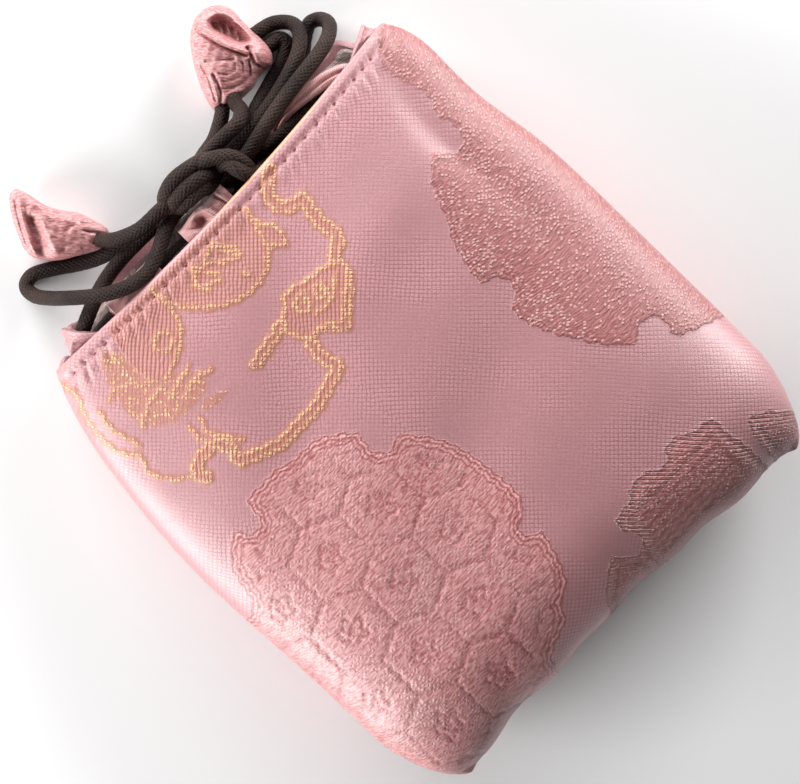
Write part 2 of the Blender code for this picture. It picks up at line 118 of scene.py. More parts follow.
def panel_face(front, steps, shares, depths, columns):
    """One panel's face at a depth below its outside, as a grid of rows and evenly spaced columns.

    A row is half a superellipse across the pouch: across and swell are its sine and cosine to the power 2 /
    power. Its half-width, thickness and seam height follow its place between base and mouth, and the rows
    are laid from the base's line to the rim's. Each is worked out finely, then spaced evenly along its arc.
    """
    angles = np.linspace(-math.pi / 2, math.pi / 2, 1441)[None, :]
    steps, shares, depths = (np.broadcast_to(value, steps.shape)[:, None] for value in (steps, shares, depths))
    nominal = steps + shares * (side_length - base_rounding)
    along = nominal / side_length
    power = 2.6 - 0.4 * along if front else 3.6
    across = np.sign(angles) * np.abs(np.sin(angles)) ** (2 / power)
    swell = np.abs(np.cos(angles)) ** (2 / power)
    side = middle_half_width - (middle_half_width - mouth_half_width) * along ** 8
    half_width = side - corner_inset * (1 - quarter_round(nominal / corner_length, 1.6))
    thickness = mouth_thickness + (middle_thickness - mouth_thickness) * (1 - along ** 2.2)
    seam = seam_height * thickness
    swell = swell * quarter_round(nominal / base_rounding, 2.2)
    base_line = -pouch_length / 2 + base_hollow * (1 - np.abs(across) ** 3)
    rim = middle_y - front_rim_dip * (1 - across ** 2)
    if not front:
        edge = np.abs(across)
        rim = middle_y + back_rim_rise * (1 - across ** 6)
        rim = rim + 0.0014 * np.exp(-((edge - 0.84) / 0.03) ** 2) - 0.0030 * np.exp(-((edge - 0.905) / 0.03) ** 2)
    y = base_line + steps
    y = y + (rim - y) * shares
    y = y + depths * (rim - y) / (rim - base_line)
    if front:
        z = seam + seam_gap + (thickness - seam - depths) * swell
    else:
        outside = np.maximum(seam - (seam + resting_depth) * swell, 0.0)
        z = outside + depths * (seam - outside) / seam
    x = (half_width - depths) * across
    fine = np.stack([x, y, z], axis=-1)
    share = np.linspace(0, 1, columns)
    return np.array([[np.interp(share * far[-1], far, row[:, axis]) for axis in range(3)]
                     for row, far in zip(fine, travelled(fine, 1))]).transpose(0, 2, 1)


def hills_at(x, y, hills):
    """Sum of round hills at places in millimetres: each is its height times exp(-(distance / size)^2)."""
    total = np.zeros_like(x)
    for place_x, place_y, size_x, size_y, turn, height in hills:
        turn = math.radians(turn)
        along = (x - place_x) * math.cos(turn) + (y - place_y) * math.sin(turn)
        beside = (y - place_y) * math.cos(turn) - (x - place_x) * math.sin(turn)
        total += height * np.exp(-(along / size_x) ** 2 - (beside / size_y) ** 2)
    return total


def settle(points):
    """Every layer moved alike from its even form to the form in which the pouch lies.

    Soft hills and hollows move a point up or down, the more the higher it is above the floor. The sides are
    drawn in at the waist and pushed out at the right shoulder, the base waves a little, and the mouth is
    askew, with its right side further out than its left.
    """
    x, y, z = points[..., 0] * 1000, points[..., 1] * 1000, points[..., 2] * 1000
    high = np.clip((z - 8) / 14, 0, 1) ** 1.2
    lift = hills_at(x, y, soft_hills)
    left, right = np.clip(-x / 45, 0, 1) ** 2, np.clip(x / 45, 0, 1) ** 2
    waist = -1.9 * np.exp(-((y - 6) / 26) ** 2) * left - 1.5 * np.exp(-((y - 34) / 12) ** 2) * right
    shoulder = 1.8 * np.exp(-((y - 54) / 9) ** 2) * right * np.clip(z / 8, 0, 1)
    at_base = np.clip((-y - 40) / 22, 0, 1) ** 2
    wave = 0.9 * np.sin(x / 6.3 + 0.9) * np.exp(-((x + 18) / 20) ** 2) - 1.3 * np.exp(-((x - 34) / 14) ** 2)
    wave += 0.35 * np.sin(x / 2.9) + 0.8 * np.exp(-((x + 14) / 13) ** 2)
    tilt = 1.4 * x / 50 * np.clip((y - 32) / 24, 0, 1) ** 1.5
    return np.stack([x + waist + shoulder, y + wave * at_base + tilt, z + lift * high], axis=-1) / 1000


def skin(name, points, faces):
    """A new piece from points and faces, smoothly shaded."""
    mesh = bpy.data.meshes.new(name)
    mesh.from_pydata(points.reshape(-1, 3), [], faces)
    mesh.shade_smooth()
    made = bpy.data.objects.new(name, mesh)
    bpy.context.scene.collection.objects.link(made)
    return made


def lay_map(piece, places, marks):
    """The cloth's own map in metres for each point, so that a pattern follows the cloth, and its marks.

    Marks are values for each point, kept as attributes for the material.
    """
    corners = np.empty(len(piece.data.loops), dtype=int)
    piece.data.loops.foreach_get("vertex_index", corners)
    piece.data.uv_layers.new(name="cloth").data.foreach_set("uv", places[corners].ravel())
    for mark, values in marks.items():
        piece.data.attributes.new(mark, "FLOAT", "POINT").data.foreach_set("value", values)


def cloth_solid(name, outer, inner, marks=None):
    """Closed mesh of one cloth: its shown face, and a coarse hidden face that follows it inside.

    Both are grids with the same columns. The hidden one may have fewer rows, spread evenly over the shown
    ones. The map runs along the cloth, from its middle column and from its first row, and marks are for the
    shown points.
    """
    rows, columns = outer.shape[:2]
    hidden = inner.shape[0]
    partner = np.round(np.linspace(0, rows - 1, hidden)).astype(int)
    index = np.arange(rows * columns).reshape(rows, columns)
    behind = index.size + np.arange(hidden * columns).reshape(hidden, columns)
    quads = [np.stack([index[:-1, :-1], index[:-1, 1:], index[1:, 1:], index[1:, :-1]], axis=-1).reshape(-1, 4),
             np.stack([behind[:-1, :-1], behind[1:, :-1], behind[1:, 1:], behind[:-1, 1:]], axis=-1).reshape(-1, 4),
             np.stack([index[0, 1:], index[0, :-1], behind[0, :-1], behind[0, 1:]], axis=-1),
             np.stack([index[-1, :-1], index[-1, 1:], behind[-1, 1:], behind[-1, :-1]], axis=-1)]
    faces = np.concatenate(quads).tolist()
    for low, high, a, b in zip(partner, partner[1:], range(hidden - 1), range(1, hidden)):
        faces.append([*index[low:high + 1, 0], behind[b, 0], behind[a, 0]])
        faces.append([*index[low:high + 1, -1][::-1], behind[a, -1], behind[b, -1]])
    made = skin(name, np.concatenate([outer.reshape(-1, 3), inner.reshape(-1, 3)]), faces)
    places = []
    for grid in (outer, inner):
        across = travelled(grid, 1)
        across -= across[:, columns // 2, None]
        places.append(np.stack([across, travelled(grid)], axis=-1).reshape(-1, 2))
    nothing = np.zeros(hidden * columns)
    lay_map(made, np.concatenate(places),
            {mark: np.concatenate([values.ravel(), nothing]) for mark, values in (marks or {}).items()})
    return made


def rounded_line(line, closed=False, times=2):
    """A line with each corner cut off a quarter of the way along, again and again until it runs smoothly."""
    line = np.array(line, dtype=float)
    for _ in range(times):
        start, end = (line, np.roll(line, -1, axis=0)) if closed else (line[:-1], line[1:])
        cut = np.stack([0.75 * start + 0.25 * end, 0.25 * start + 0.75 * end], axis=1).reshape(-1, 2)
        line = cut if closed else np.vstack([line[:1], cut, line[-1:]])
    return np.vstack([line, line[:1]]) if closed else line


def line_distance(x, y, line, reach=4.0):
    """Distance in millimetres from each point to the nearest place on a line, up to a reach."""
    found = np.full(x.shape, reach)
    close = (x > line[:, 0].min() - reach) & (x < line[:, 0].max() + reach)
    close &= (y > line[:, 1].min() - reach) & (y < line[:, 1].max() + reach)
    px, py = x[close], y[close]
    best = np.full(px.shape, reach)
    for (ax, ay), (bx, by) in zip(line, line[1:]):
        dx, dy = bx - ax, by - ay
        t = np.clip(((px - ax) * dx + (py - ay) * dy) / max(dx * dx + dy * dy, 1e-9), 0, 1)
        best = np.minimum(best, np.hypot(px - ax - t * dx, py - ay - t * dy))
    found[close] = best
    return found


def area_depth(x, y, outline, reach=4.0):
    """How deep each point lies inside an outline in millimetres, and below zero outside it.

    A point is inside when a line drawn from it to the right crosses the outline an odd number of times.
    """
    line = rounded_line(outline, closed=True)
    inside = np.zeros(x.shape, dtype=bool)
    for (ax, ay), (bx, by) in zip(line, line[1:]):
        crosses = (ay > y) != (by > y)
        inside ^= crosses & (x < (bx - ax) * (y - ay) / (by - ay if by != ay else 1e-9) + ax)
    return np.where(inside, 1, -1) * line_distance(x, y, line, reach)


# Outlines of the woven figures, read off the cloth: millimetres, from the middle of the front
lower_roundel = [
    (-41, 12), (-36, 11.8), (-31, 12), (-28, 10.5), (-24, 10.7), (-20, 10), (-17, 7.5), (-14, 5.5), (-14.5, 2.5),
    (-15, 0), (-13, -2), (-11, -2.5), (-9, -0.5), (-6, -4), (-3, -8), (-1.5, -12), (-0.5, -17), (0, -22),
    (0.5, -26), (-0.5, -30), (-3, -31.5), (-5.5, -33), (-4.5, -35.5), (-1.5, -36.3), (-2.5, -39), (-3.5, -43),
    (-5, -46.5), (-7.5, -49), (-10, -49.5), (-10.5, -52), (-13, -54), (-17, -55), (-20, -57), (-22, -70),
    (-66, -70), (-66, -6), (-55, -6), (-54, 0), (-53, 4), (-50, 7), (-47, 9.5), (-45, 6), (-42, 5.5), (-41, 8)]
right_roundel = [
    (38.5, 36), (36, 33), (33, 30), (31.5, 27), (31, 24), (28.5, 20.5), (26.5, 15), (25.5, 9), (27, 8), (29.5, 7),
    (30.5, 4.5), (29, 1.5), (26, 0.5), (26.5, -4), (28.5, -9), (31, -13), (34, -18), (37, -21), (39.5, -23.5),
    (41, -22), (43, -20.8), (46, -21), (47.5, -24), (46, -28), (49, -29), (53, -31), (60, -33), (68, -33),
    (68, 62), (52, 64), (44, 57), (44.5, 52), (47, 44), (44.5, 40), (46, 37), (45.5, 33), (44, 31.5), (41, 31.5)]
cloud = [(9.5, -47), (11, -45.2), (15, -45.2), (16.5, -43), (22, -42.6), (24, -45), (27, -44.6), (28, -42.3),
         (32, -42.3), (34.5, -44.5), (39, -44.6), (40, -46), (39.5, -50), (41, -54), (41, -70), (8, -70),
         (10.5, -53.5), (12, -51), (10, -49)]
small_cloud = [(-4, -57), (0, -53.5), (3, -51), (5, -50.3), (6, -52.5), (8.5, -54.3), (10.5, -53.8), (10, -70),
               (-5, -70)]
corner_cloud = [(45, -50), (48, -52), (50, -53), (52, -56), (58, -60), (58, -70), (43, -70), (43, -54)]
first_blossom = [(-25, 59), (-23.5, 55), (-23, 52), (-23.5, 48.5), (-26, 45), (-30, 42.8), (-34, 41.5),
                 (-37, 43.5), (-37.5, 48), (-36.5, 53), (-36, 59)]
second_blossom = [(-23.5, 57.5), (-22.5, 52), (-20, 48), (-17, 45), (-13, 42.5), (-7.5, 41.3), (-3, 42.5),
                  (0, 45.5), (1.5, 50), (2.8, 55), (0, 58), (-12, 61), (-22, 60)]
small_leaf = [(2.8, 55), (2, 51), (4.3, 48), (4.5, 46), (3.3, 43), (2, 44.5), (0, 45.5), (1.5, 50)]
big_leaf = [(-5, 36), (-1, 36), (0, 35), (5, 34.5), (8.5, 33.5), (8.7, 30), (7, 27.5), (4, 25), (2, 23.5),
            (0.5, 21.5), (-1, 22), (-2.5, 24), (-5, 25.8), (-7.5, 25.5), (-8.5, 28), (-9.8, 30), (-9, 32.5),
            (-7, 33.5)]
gold_cluster = [(-44, 50), (-42, 55), (-38, 56), (-36.5, 50), (-36, 44), (-31, 41), (-28, 38), (-28, 34),
                (-33, 32.5), (-40, 33), (-45, 37), (-46, 42), (-45, 47)]
gold_branch = [(-34, 33.5), (-31, 33), (-28, 31.8), (-26, 31.5), (-26, 30.3), (-29, 29.3), (-33, 29.6)]
gold_ribbons = [                # centreline and width
    ([(12, 57), (9, 54.8), (7.5, 52), (8, 49.5), (10.5, 47.8), (12.8, 48), (12, 45), (11.5, 41), (12.3, 38),
      (11.5, 36), (9.5, 35), (8, 33.8)], 2.1),
    ([(-9.5, 32.3), (-12, 31.5), (-14, 31.3), (-16.5, 30.8), (-18.8, 30.3)], 1.8),
    ([(-7.8, 25), (-8.3, 22), (-7.8, 19.5), (-7, 17.5), (-10, 16.8), (-14, 15.5), (-17, 14.8), (-21, 15),
      (-24, 14.8), (-27, 14.7), (-30, 16), (-33, 17.2), (-36, 18.5), (-35, 21), (-36, 24.5), (-39, 25),
      (-42, 24.5), (-44, 23), (-43, 21)], 1.9)]
gold_lines = [
    [(-23, 57), (-23, 52), (-23.5, 48.5), (-26, 45), (-30, 42.8), (-34, 41.5)],
    [(-23.5, 57.5), (-22.5, 52), (-20, 48), (-17, 45), (-13, 42.5), (-7.5, 41.3), (-3, 42.5), (0, 45.5),
     (2, 44.5), (3.3, 43), (4.5, 46), (4.3, 48), (2, 51), (2.8, 55)],
    [(0, 45.5), (1.5, 50), (2.8, 55)],
    [*big_leaf, big_leaf[0]],
    [(9, 31), (6, 28), (3, 26.5), (1, 23.5), (-1.5, 24.5), (-3, 26), (-7, 26)],
    [(2.6, 32.3), (1.5, 32.9), (0.2, 32.2), (0, 30.6), (1.2, 29.6), (2.6, 30.2), (2.7, 31.2), (1.6, 31.4)],
    [(-1, 33.4), (-2.6, 34), (-4.6, 33.2), (-5, 31.4), (-3.6, 30.2), (-1.9, 30.8), (-1.8, 32.2), (-3, 32.4)],
    [(-2.6, 28.8), (-0.4, 28.2), (1.6, 28.4), (4, 29.6), (6, 31.6)],
    [(-10.2, 51.6), (-12.5, 53.2), (-15.4, 52.4), (-16, 50), (-14.6, 48)],
    [(-11.5, 48), (-14, 48.8), (-16.6, 50.8)], [(-11, 49), (-12.8, 51.4), (-14.4, 54)],
    [(-4.6, 50), (-6, 53.2), (-9, 54.4), (-11, 52.8)], [(-5, 48.6), (-7.8, 49.4), (-10.4, 52)],
    [(-4.8, 49), (-7, 51.6), (-7.6, 54.4)], [(-7.6, 45.4), (-6.4, 44.6)],
    [(-27, 48), (-29, 49.6), (-31.4, 48.4), (-31, 46), (-28.8, 45), (-27.4, 46.4)],
    [(-35, 30.5), (-36.5, 27), (-34.5, 25), (-32, 21)], [(-38, 31), (-38.4, 27), (-35, 20)],
    [(-46, 47), (-43, 48), (-40, 45.6), (-37, 43)], [(-45, 38), (-41, 40.5), (-36, 41)],
    [(-26, 36), (-30, 37.4), (-34, 36)], [(-29, 40), (-33, 38.8), (-37, 38)],
    [(-51, 57.5), (-50, 54), (-50, 52), (-52, 49), (-53, 42), (-52, 37), (-49, 34), (-51, 31), (-50, 28),
     (-47, 24.5), (-44, 23)],
    [(-49, 47), (-50, 43), (-49, 39), (-48, 36)]]
waves = [[(x, y) for x in (12, 18, 24, 30, 36)] for y in (-48.2, -50.3, -52.2, -54, -55.6, -57)]


def tortoiseshell():
    """Lines of a net of six-sided cells with a small five-petalled blossom in each, in millimetres.

    Rows of zigzags are joined by uprights below every other corner. A blossom is a circle whose radius
    follows a cosine with five waves, round a small eye.
    """
    half_cell, row_pitch, upright = 7.4, 13.9, 10.4
    turn = np.linspace(0, 2 * math.pi, 21)
    petals, eye = 2.5 + 0.7 * np.cos(5 * turn), 0.8
    lines = []
    for row in range(-5, 2):
        low, high = row_pitch * row - 4.2, row_pitch * row - 0.7
        odd = row % 2
        for step in range(-9, 2):
            x = half_cell * step + 0.3
            upper = (step + odd) % 2
            lines.append([(x, high if upper else low), (x + half_cell, low if upper else high)])
            if not upper:
                lines.append([(x, low), (x, low - upright)])
            else:
                middle = low - upright / 2
                lines.append(list(zip(x + petals * np.sin(turn), middle + petals * np.cos(turn))))
                lines.append(list(zip(x + eye * np.sin(turn[::4]), middle + eye * np.cos(turn[::4]))))
    return lines


def woven_figures(points):
    """What is woven where, as values from 0 (nothing) to 1 for each point of a cloth.

    An area's value rises over about a millimetre at its outline, and a line's falls to 0 in 1.5 mm. Small
    waves in the places make the weaver's steps uneven. The right roundel fades towards the upper right. The
    seam mark is not woven: it rises towards the base seam and sets where shade is painted.
    """
    x, y = points[..., 0] * 1000, points[..., 1] * 1000 + 2.0
    x = x + 0.22 * np.sin(2.3 * y) + 0.12 * np.sin(5.9 * y + 1)
    y = y + 0.22 * np.sin(2.1 * x + 2) + 0.12 * np.sin(6.3 * x)
    roundel, right, *clouds = (area_depth(x, y, outline) for outline in (
        lower_roundel, right_roundel, cloud, small_cloud, corner_cloud))
    blossoms, clusters = (np.maximum.reduce([area_depth(x, y, outline) for outline in outlines]) for outlines in (
        (first_blossom, second_blossom, small_leaf, big_leaf), (gold_cluster, gold_branch)))
    gold = np.full(x.shape, 4.0)
    for line in gold_lines:
        gold = np.minimum(gold, line_distance(x, y, rounded_line(line)))
    for line, width in gold_ribbons:
        away = line_distance(x, y, rounded_line(line))
        gold = np.minimum(gold, np.abs(away - width / 2))
        blossoms = np.maximum(blossoms, width / 2 - away)
    contour = np.full(x.shape, 4.0)
    for depth in clouds:
        contour = np.minimum(contour, np.abs(depth - 1.3))
    within = roundel > 3.9
    shown = 0.62 + 0.38 * np.sin(0.23 * x + 0.11 * y) * np.sin(0.19 * y - 0.13 * x + 1)
    for line in tortoiseshell():
        away = line_distance(x, y, np.array(line), 1.5)
        contour = np.where(within, np.minimum(contour, away / shown), contour)
    for line in waves:
        away = line_distance(x, y, np.array(line, dtype=float), 1.5)
        contour = np.where(clouds[0] > 1.6, np.minimum(contour, away), contour)
    raised = np.maximum.reduce([roundel, right, *clouds])
    faded = np.clip((y - 26) / 22, 0, 1) * np.clip((x - 20) / 12, 0, 1)
    return {"raised": np.clip(0.5 + raised / (0.9 + 5 * faded), 0, 1),
            "depth": np.clip(raised / 4, 0, 1) * (1 - faded) + faded,
            "ribs": np.clip(0.5 + blossoms / 0.9, 0, 1),
            "contour": np.clip(1 - contour / 1.5, 0, 1),
            "gold": np.clip(1 - gold / 1.5, 0, 1),
            "gold_fill": np.clip(0.5 + clusters / 2.4, 0, 1),
            "pale": np.clip(0.5 + roundel / 0.9, 0, 1),
            "cloudy": np.clip(0.5 + np.maximum.reduce(clouds) / 0.9, 0, 1),
            # Not woven: this mark rises towards the base seam, for painted shade
            "seam": np.clip((-52.0 - y) / 7.0, 0, 1) ** 1.5}


def along_normals(grid, heights):
    """The grid's points moved along its own normals by a height for each."""
    normals = np.cross(np.gradient(grid, axis=1), np.gradient(grid, axis=0))
    normals /= np.maximum(np.linalg.norm(normals, axis=2), 1e-12)[..., None]
    return grid + normals * heights[..., None]


def stitch_count(across):
    """How many hem stitches have passed at a length along the rim in millimetres; their pitch wanders a little."""
    return (across + 0.5 * np.sin(across / 7) + 0.3 * np.sin(across / 1.9)) / stitch_pitch


def panel_cloth(name, front, spacing, columns):
    """The cloth of one panel: its outside, the fold at the rim, and the facing turned down inside.

    Relief in millimetres stands along the outside's own normals: figures and gold thread are raised, their
    inner lines are pressed in, and the base seam is drawn in. Every hem stitch pulls the cloth in, so that
    it puckers on both sides of the stitch line. All relief fades out within 2.5 mm of the side seams.
    """
    steps, shares = body_rows(spacing)
    length = side_length - base_rounding
    turn = 1.0 if front else -1.0
    outside = settle(panel_face(front, steps, shares, 0.0, columns))
    cut_from = (0, 0, 0) if front else (0.012, -0.021, 0)      # the back comes from further along the weave
    figures = woven_figures(outside * (turn, 1, 1) + cut_from)
    below = (1 - shares)[:, None] * length * 1000
    across = travelled(outside, 1) * 1000
    stitch = stitch_count(across)
    beat = np.cos(2 * math.pi * stitch)
    own = 0.75 + 0.25 * np.sin(2.7 * np.round(stitch))          # no two stitches pull alike
    pit = np.exp(-(np.abs(stitch - np.round(stitch)) / 0.13) ** 2) * own
    height = (0.12 - 0.04 * figures["pale"]) * smooth(figures["raised"])
    height += 0.10 * smooth(figures["ribs"])
    height += 0.08 * figures["gold_fill"]
    height -= 0.20 * smooth((figures["contour"] - 0.15) / 0.85) * smooth(figures["raised"])
    height += 0.12 * smooth((figures["gold"] - 0.45) / 0.5)
    height += 0.20 * np.exp(-((below - 0.9) / 0.8) ** 2)
    height -= np.exp(-((below - stitch_line) / 0.55) ** 2) * (0.16 + 0.34 * pit)
    height += 0.26 * own * (0.5 - 0.5 * beat) * np.exp(-((below - stitch_line - 1.9) / 1.7) ** 2)
    height -= 0.20 * own * pit * np.exp(-((below - stitch_line - 2.6) / 2.4) ** 2)
    from_base = (steps * 1000)[:, None] + (shares * 100)[:, None]
    height -= 0.7 * np.exp(-(from_base / 1.6) ** 2)
    height *= smooth(np.minimum(across, across[:, -1:] - across) / 2.5)
    outside = along_normals(outside, height / 1000 * turn)
    outside[..., 2] = np.maximum(outside[..., 2], 0)            # nothing goes under the floor

    fold = np.linspace(0, math.pi, 9)[1:]
    facing_rows, hidden_rows = 11, 24
    rim_depth = 2 * hem_turn
    turned = np.array([settle(panel_face(front, np.array([base_rounding]), np.array([1.0]),
                                         rim_depth * (1 - math.cos(angle)) / 2, columns)
                              + np.array([0.0, hem_turn * math.sin(angle), 0.0]))[0] for angle in fold])
    reaches_down = (facing_depth if front else back_facing_depth) / length
    inside_shares = 1 - np.linspace(0, reaches_down, facing_rows + 1)[1:]
    facing = settle(panel_face(front, np.full(facing_rows, base_rounding), inside_shares, rim_depth, columns))
    shown = np.concatenate([outside, turned, facing])
    hidden_steps, hidden_shares = (np.interp(np.linspace(0, 1, hidden_rows), np.linspace(0, 1, len(rows)), rows)
                                   for rows in (steps, shares))
    hidden = panel_face(front, hidden_steps, np.minimum(hidden_shares, inside_shares[-1]), cloth_thickness,
                        columns)

    plain_rows = np.zeros((len(fold) + facing_rows, columns))
    marks = {mark: np.concatenate([values, plain_rows]) for mark, values in figures.items()}
    # The rim's fold is marked for a painted glint in front, strongest a little right of the middle
    marks["rim"] = np.zeros(shown.shape[:2])
    rim_rows = slice(len(outside), len(outside) + 4)
    marks["rim"][rim_rows] = (0.25 + 0.75 * np.exp(-((shown[rim_rows, :, 0] * 1000 - 14) / 17) ** 2)
                              if front else 0.2)
    return cloth_solid(name, shown, settle(hidden), marks)


def cross_the_mouth(piece):
    """Bake a piece's placement into its mesh."""
    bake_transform(piece)


def new_finish(name):
    """A new material, its tree of nodes and its shader."""
    made = bpy.data.materials.new(name)
    made.use_nodes = True
    return made, made.node_tree, made.node_tree.nodes["Principled BSDF"]


def plain_material(name, colour, roughness):
    """One colour and one roughness all over."""
    made, _, shader = new_finish(name)
    shader.inputs["Base Color"].default_value = (*colour, 1)
    shader.inputs["Roughness"].default_value = roughness
    return made


def made_node(tree, kind, *values, **settings):
    """A new node with its settings, its inputs joined or set in order, and its first output returned."""
    made = tree.nodes.new(kind)
    for setting, value in settings.items():
        setattr(made, setting, value)
    for socket, value in zip(made.inputs, values):
        if isinstance(value, bpy.types.NodeSocket):
            tree.links.new(value, socket)
        elif value is not None:
            socket.default_value = value
    return made.outputs[0]


def worked_out(tree, operation, *values):
    """One step of arithmetic on values or sockets."""
    return made_node(tree, "ShaderNodeMath", *values, operation=operation)


def product(tree, first, second):
    """First times second."""
    return worked_out(tree, "MULTIPLY", first, second)


def added(tree, first, second):
    """First and second together."""
    return worked_out(tree, "ADD", first, second)


def scaled(tree, value, factor, rise):
    """Value times factor, plus rise."""
    return worked_out(tree, "MULTIPLY_ADD", value, factor, rise)


def larger(tree, first, second):
    """The larger of two."""
    return worked_out(tree, "MAXIMUM", first, second)


def rest_of(tree, share):
    """What a share leaves of 1."""
    return worked_out(tree, "SUBTRACT", 1.0, share)


def mixed(tree, share, first, second, blend="MIX"):
    """Two colours mixed by a share."""
    made = tree.nodes.new("ShaderNodeMix")
    made.data_type, made.blend_type = "RGBA", blend
    for number, value in ((0, share), (6, first), (7, second)):
        if isinstance(value, bpy.types.NodeSocket):
            tree.links.new(value, made.inputs[number])
        else:
            made.inputs[number].default_value = value if number == 0 else (*value, 1)
    return made.outputs[2]


def step_at(tree, value, low, high):
    """0 below low and 1 above high, with a soft step between."""
    made = tree.nodes.new("ShaderNodeMapRange")
    made.interpolation_type = "SMOOTHSTEP"
    tree.links.new(value, made.inputs[0])
    made.inputs[1].default_value, made.inputs[2].default_value = low, high
    return made.outputs[0]


def noise(tree, place, scale, detail, roughness=0.5, dimensions="2D"):
    """Soft uneven tone between 0 and 1."""
    return made_node(tree, "ShaderNodeTexNoise", place, None, scale, detail, roughness,
                     noise_dimensions=dimensions)


def turned_map(tree, place, degrees, across, along):
    """The cloth's map turned by an angle, with a number of repeats to the metre both ways."""
    return made_node(tree, "ShaderNodeMapping", place, None, (0, 0, math.radians(degrees)), (across, along, 1.0))


def finished(tree, shader, constants, relief, deepest, strength=1.0):
    """The shader's constants, and a relief that is too fine for the mesh, as deep as deepest."""
    for socket, value in constants.items():
        shader.inputs[socket].default_value = value
    bump = tree.nodes.new("ShaderNodeBump")
    bump.inputs["Strength"].default_value = strength
    bump.inputs["Distance"].default_value = deepest
    tree.links.new(relief, bump.inputs["Height"])
    tree.links.new(bump.outputs["Normal"], shader.inputs["Normal"])


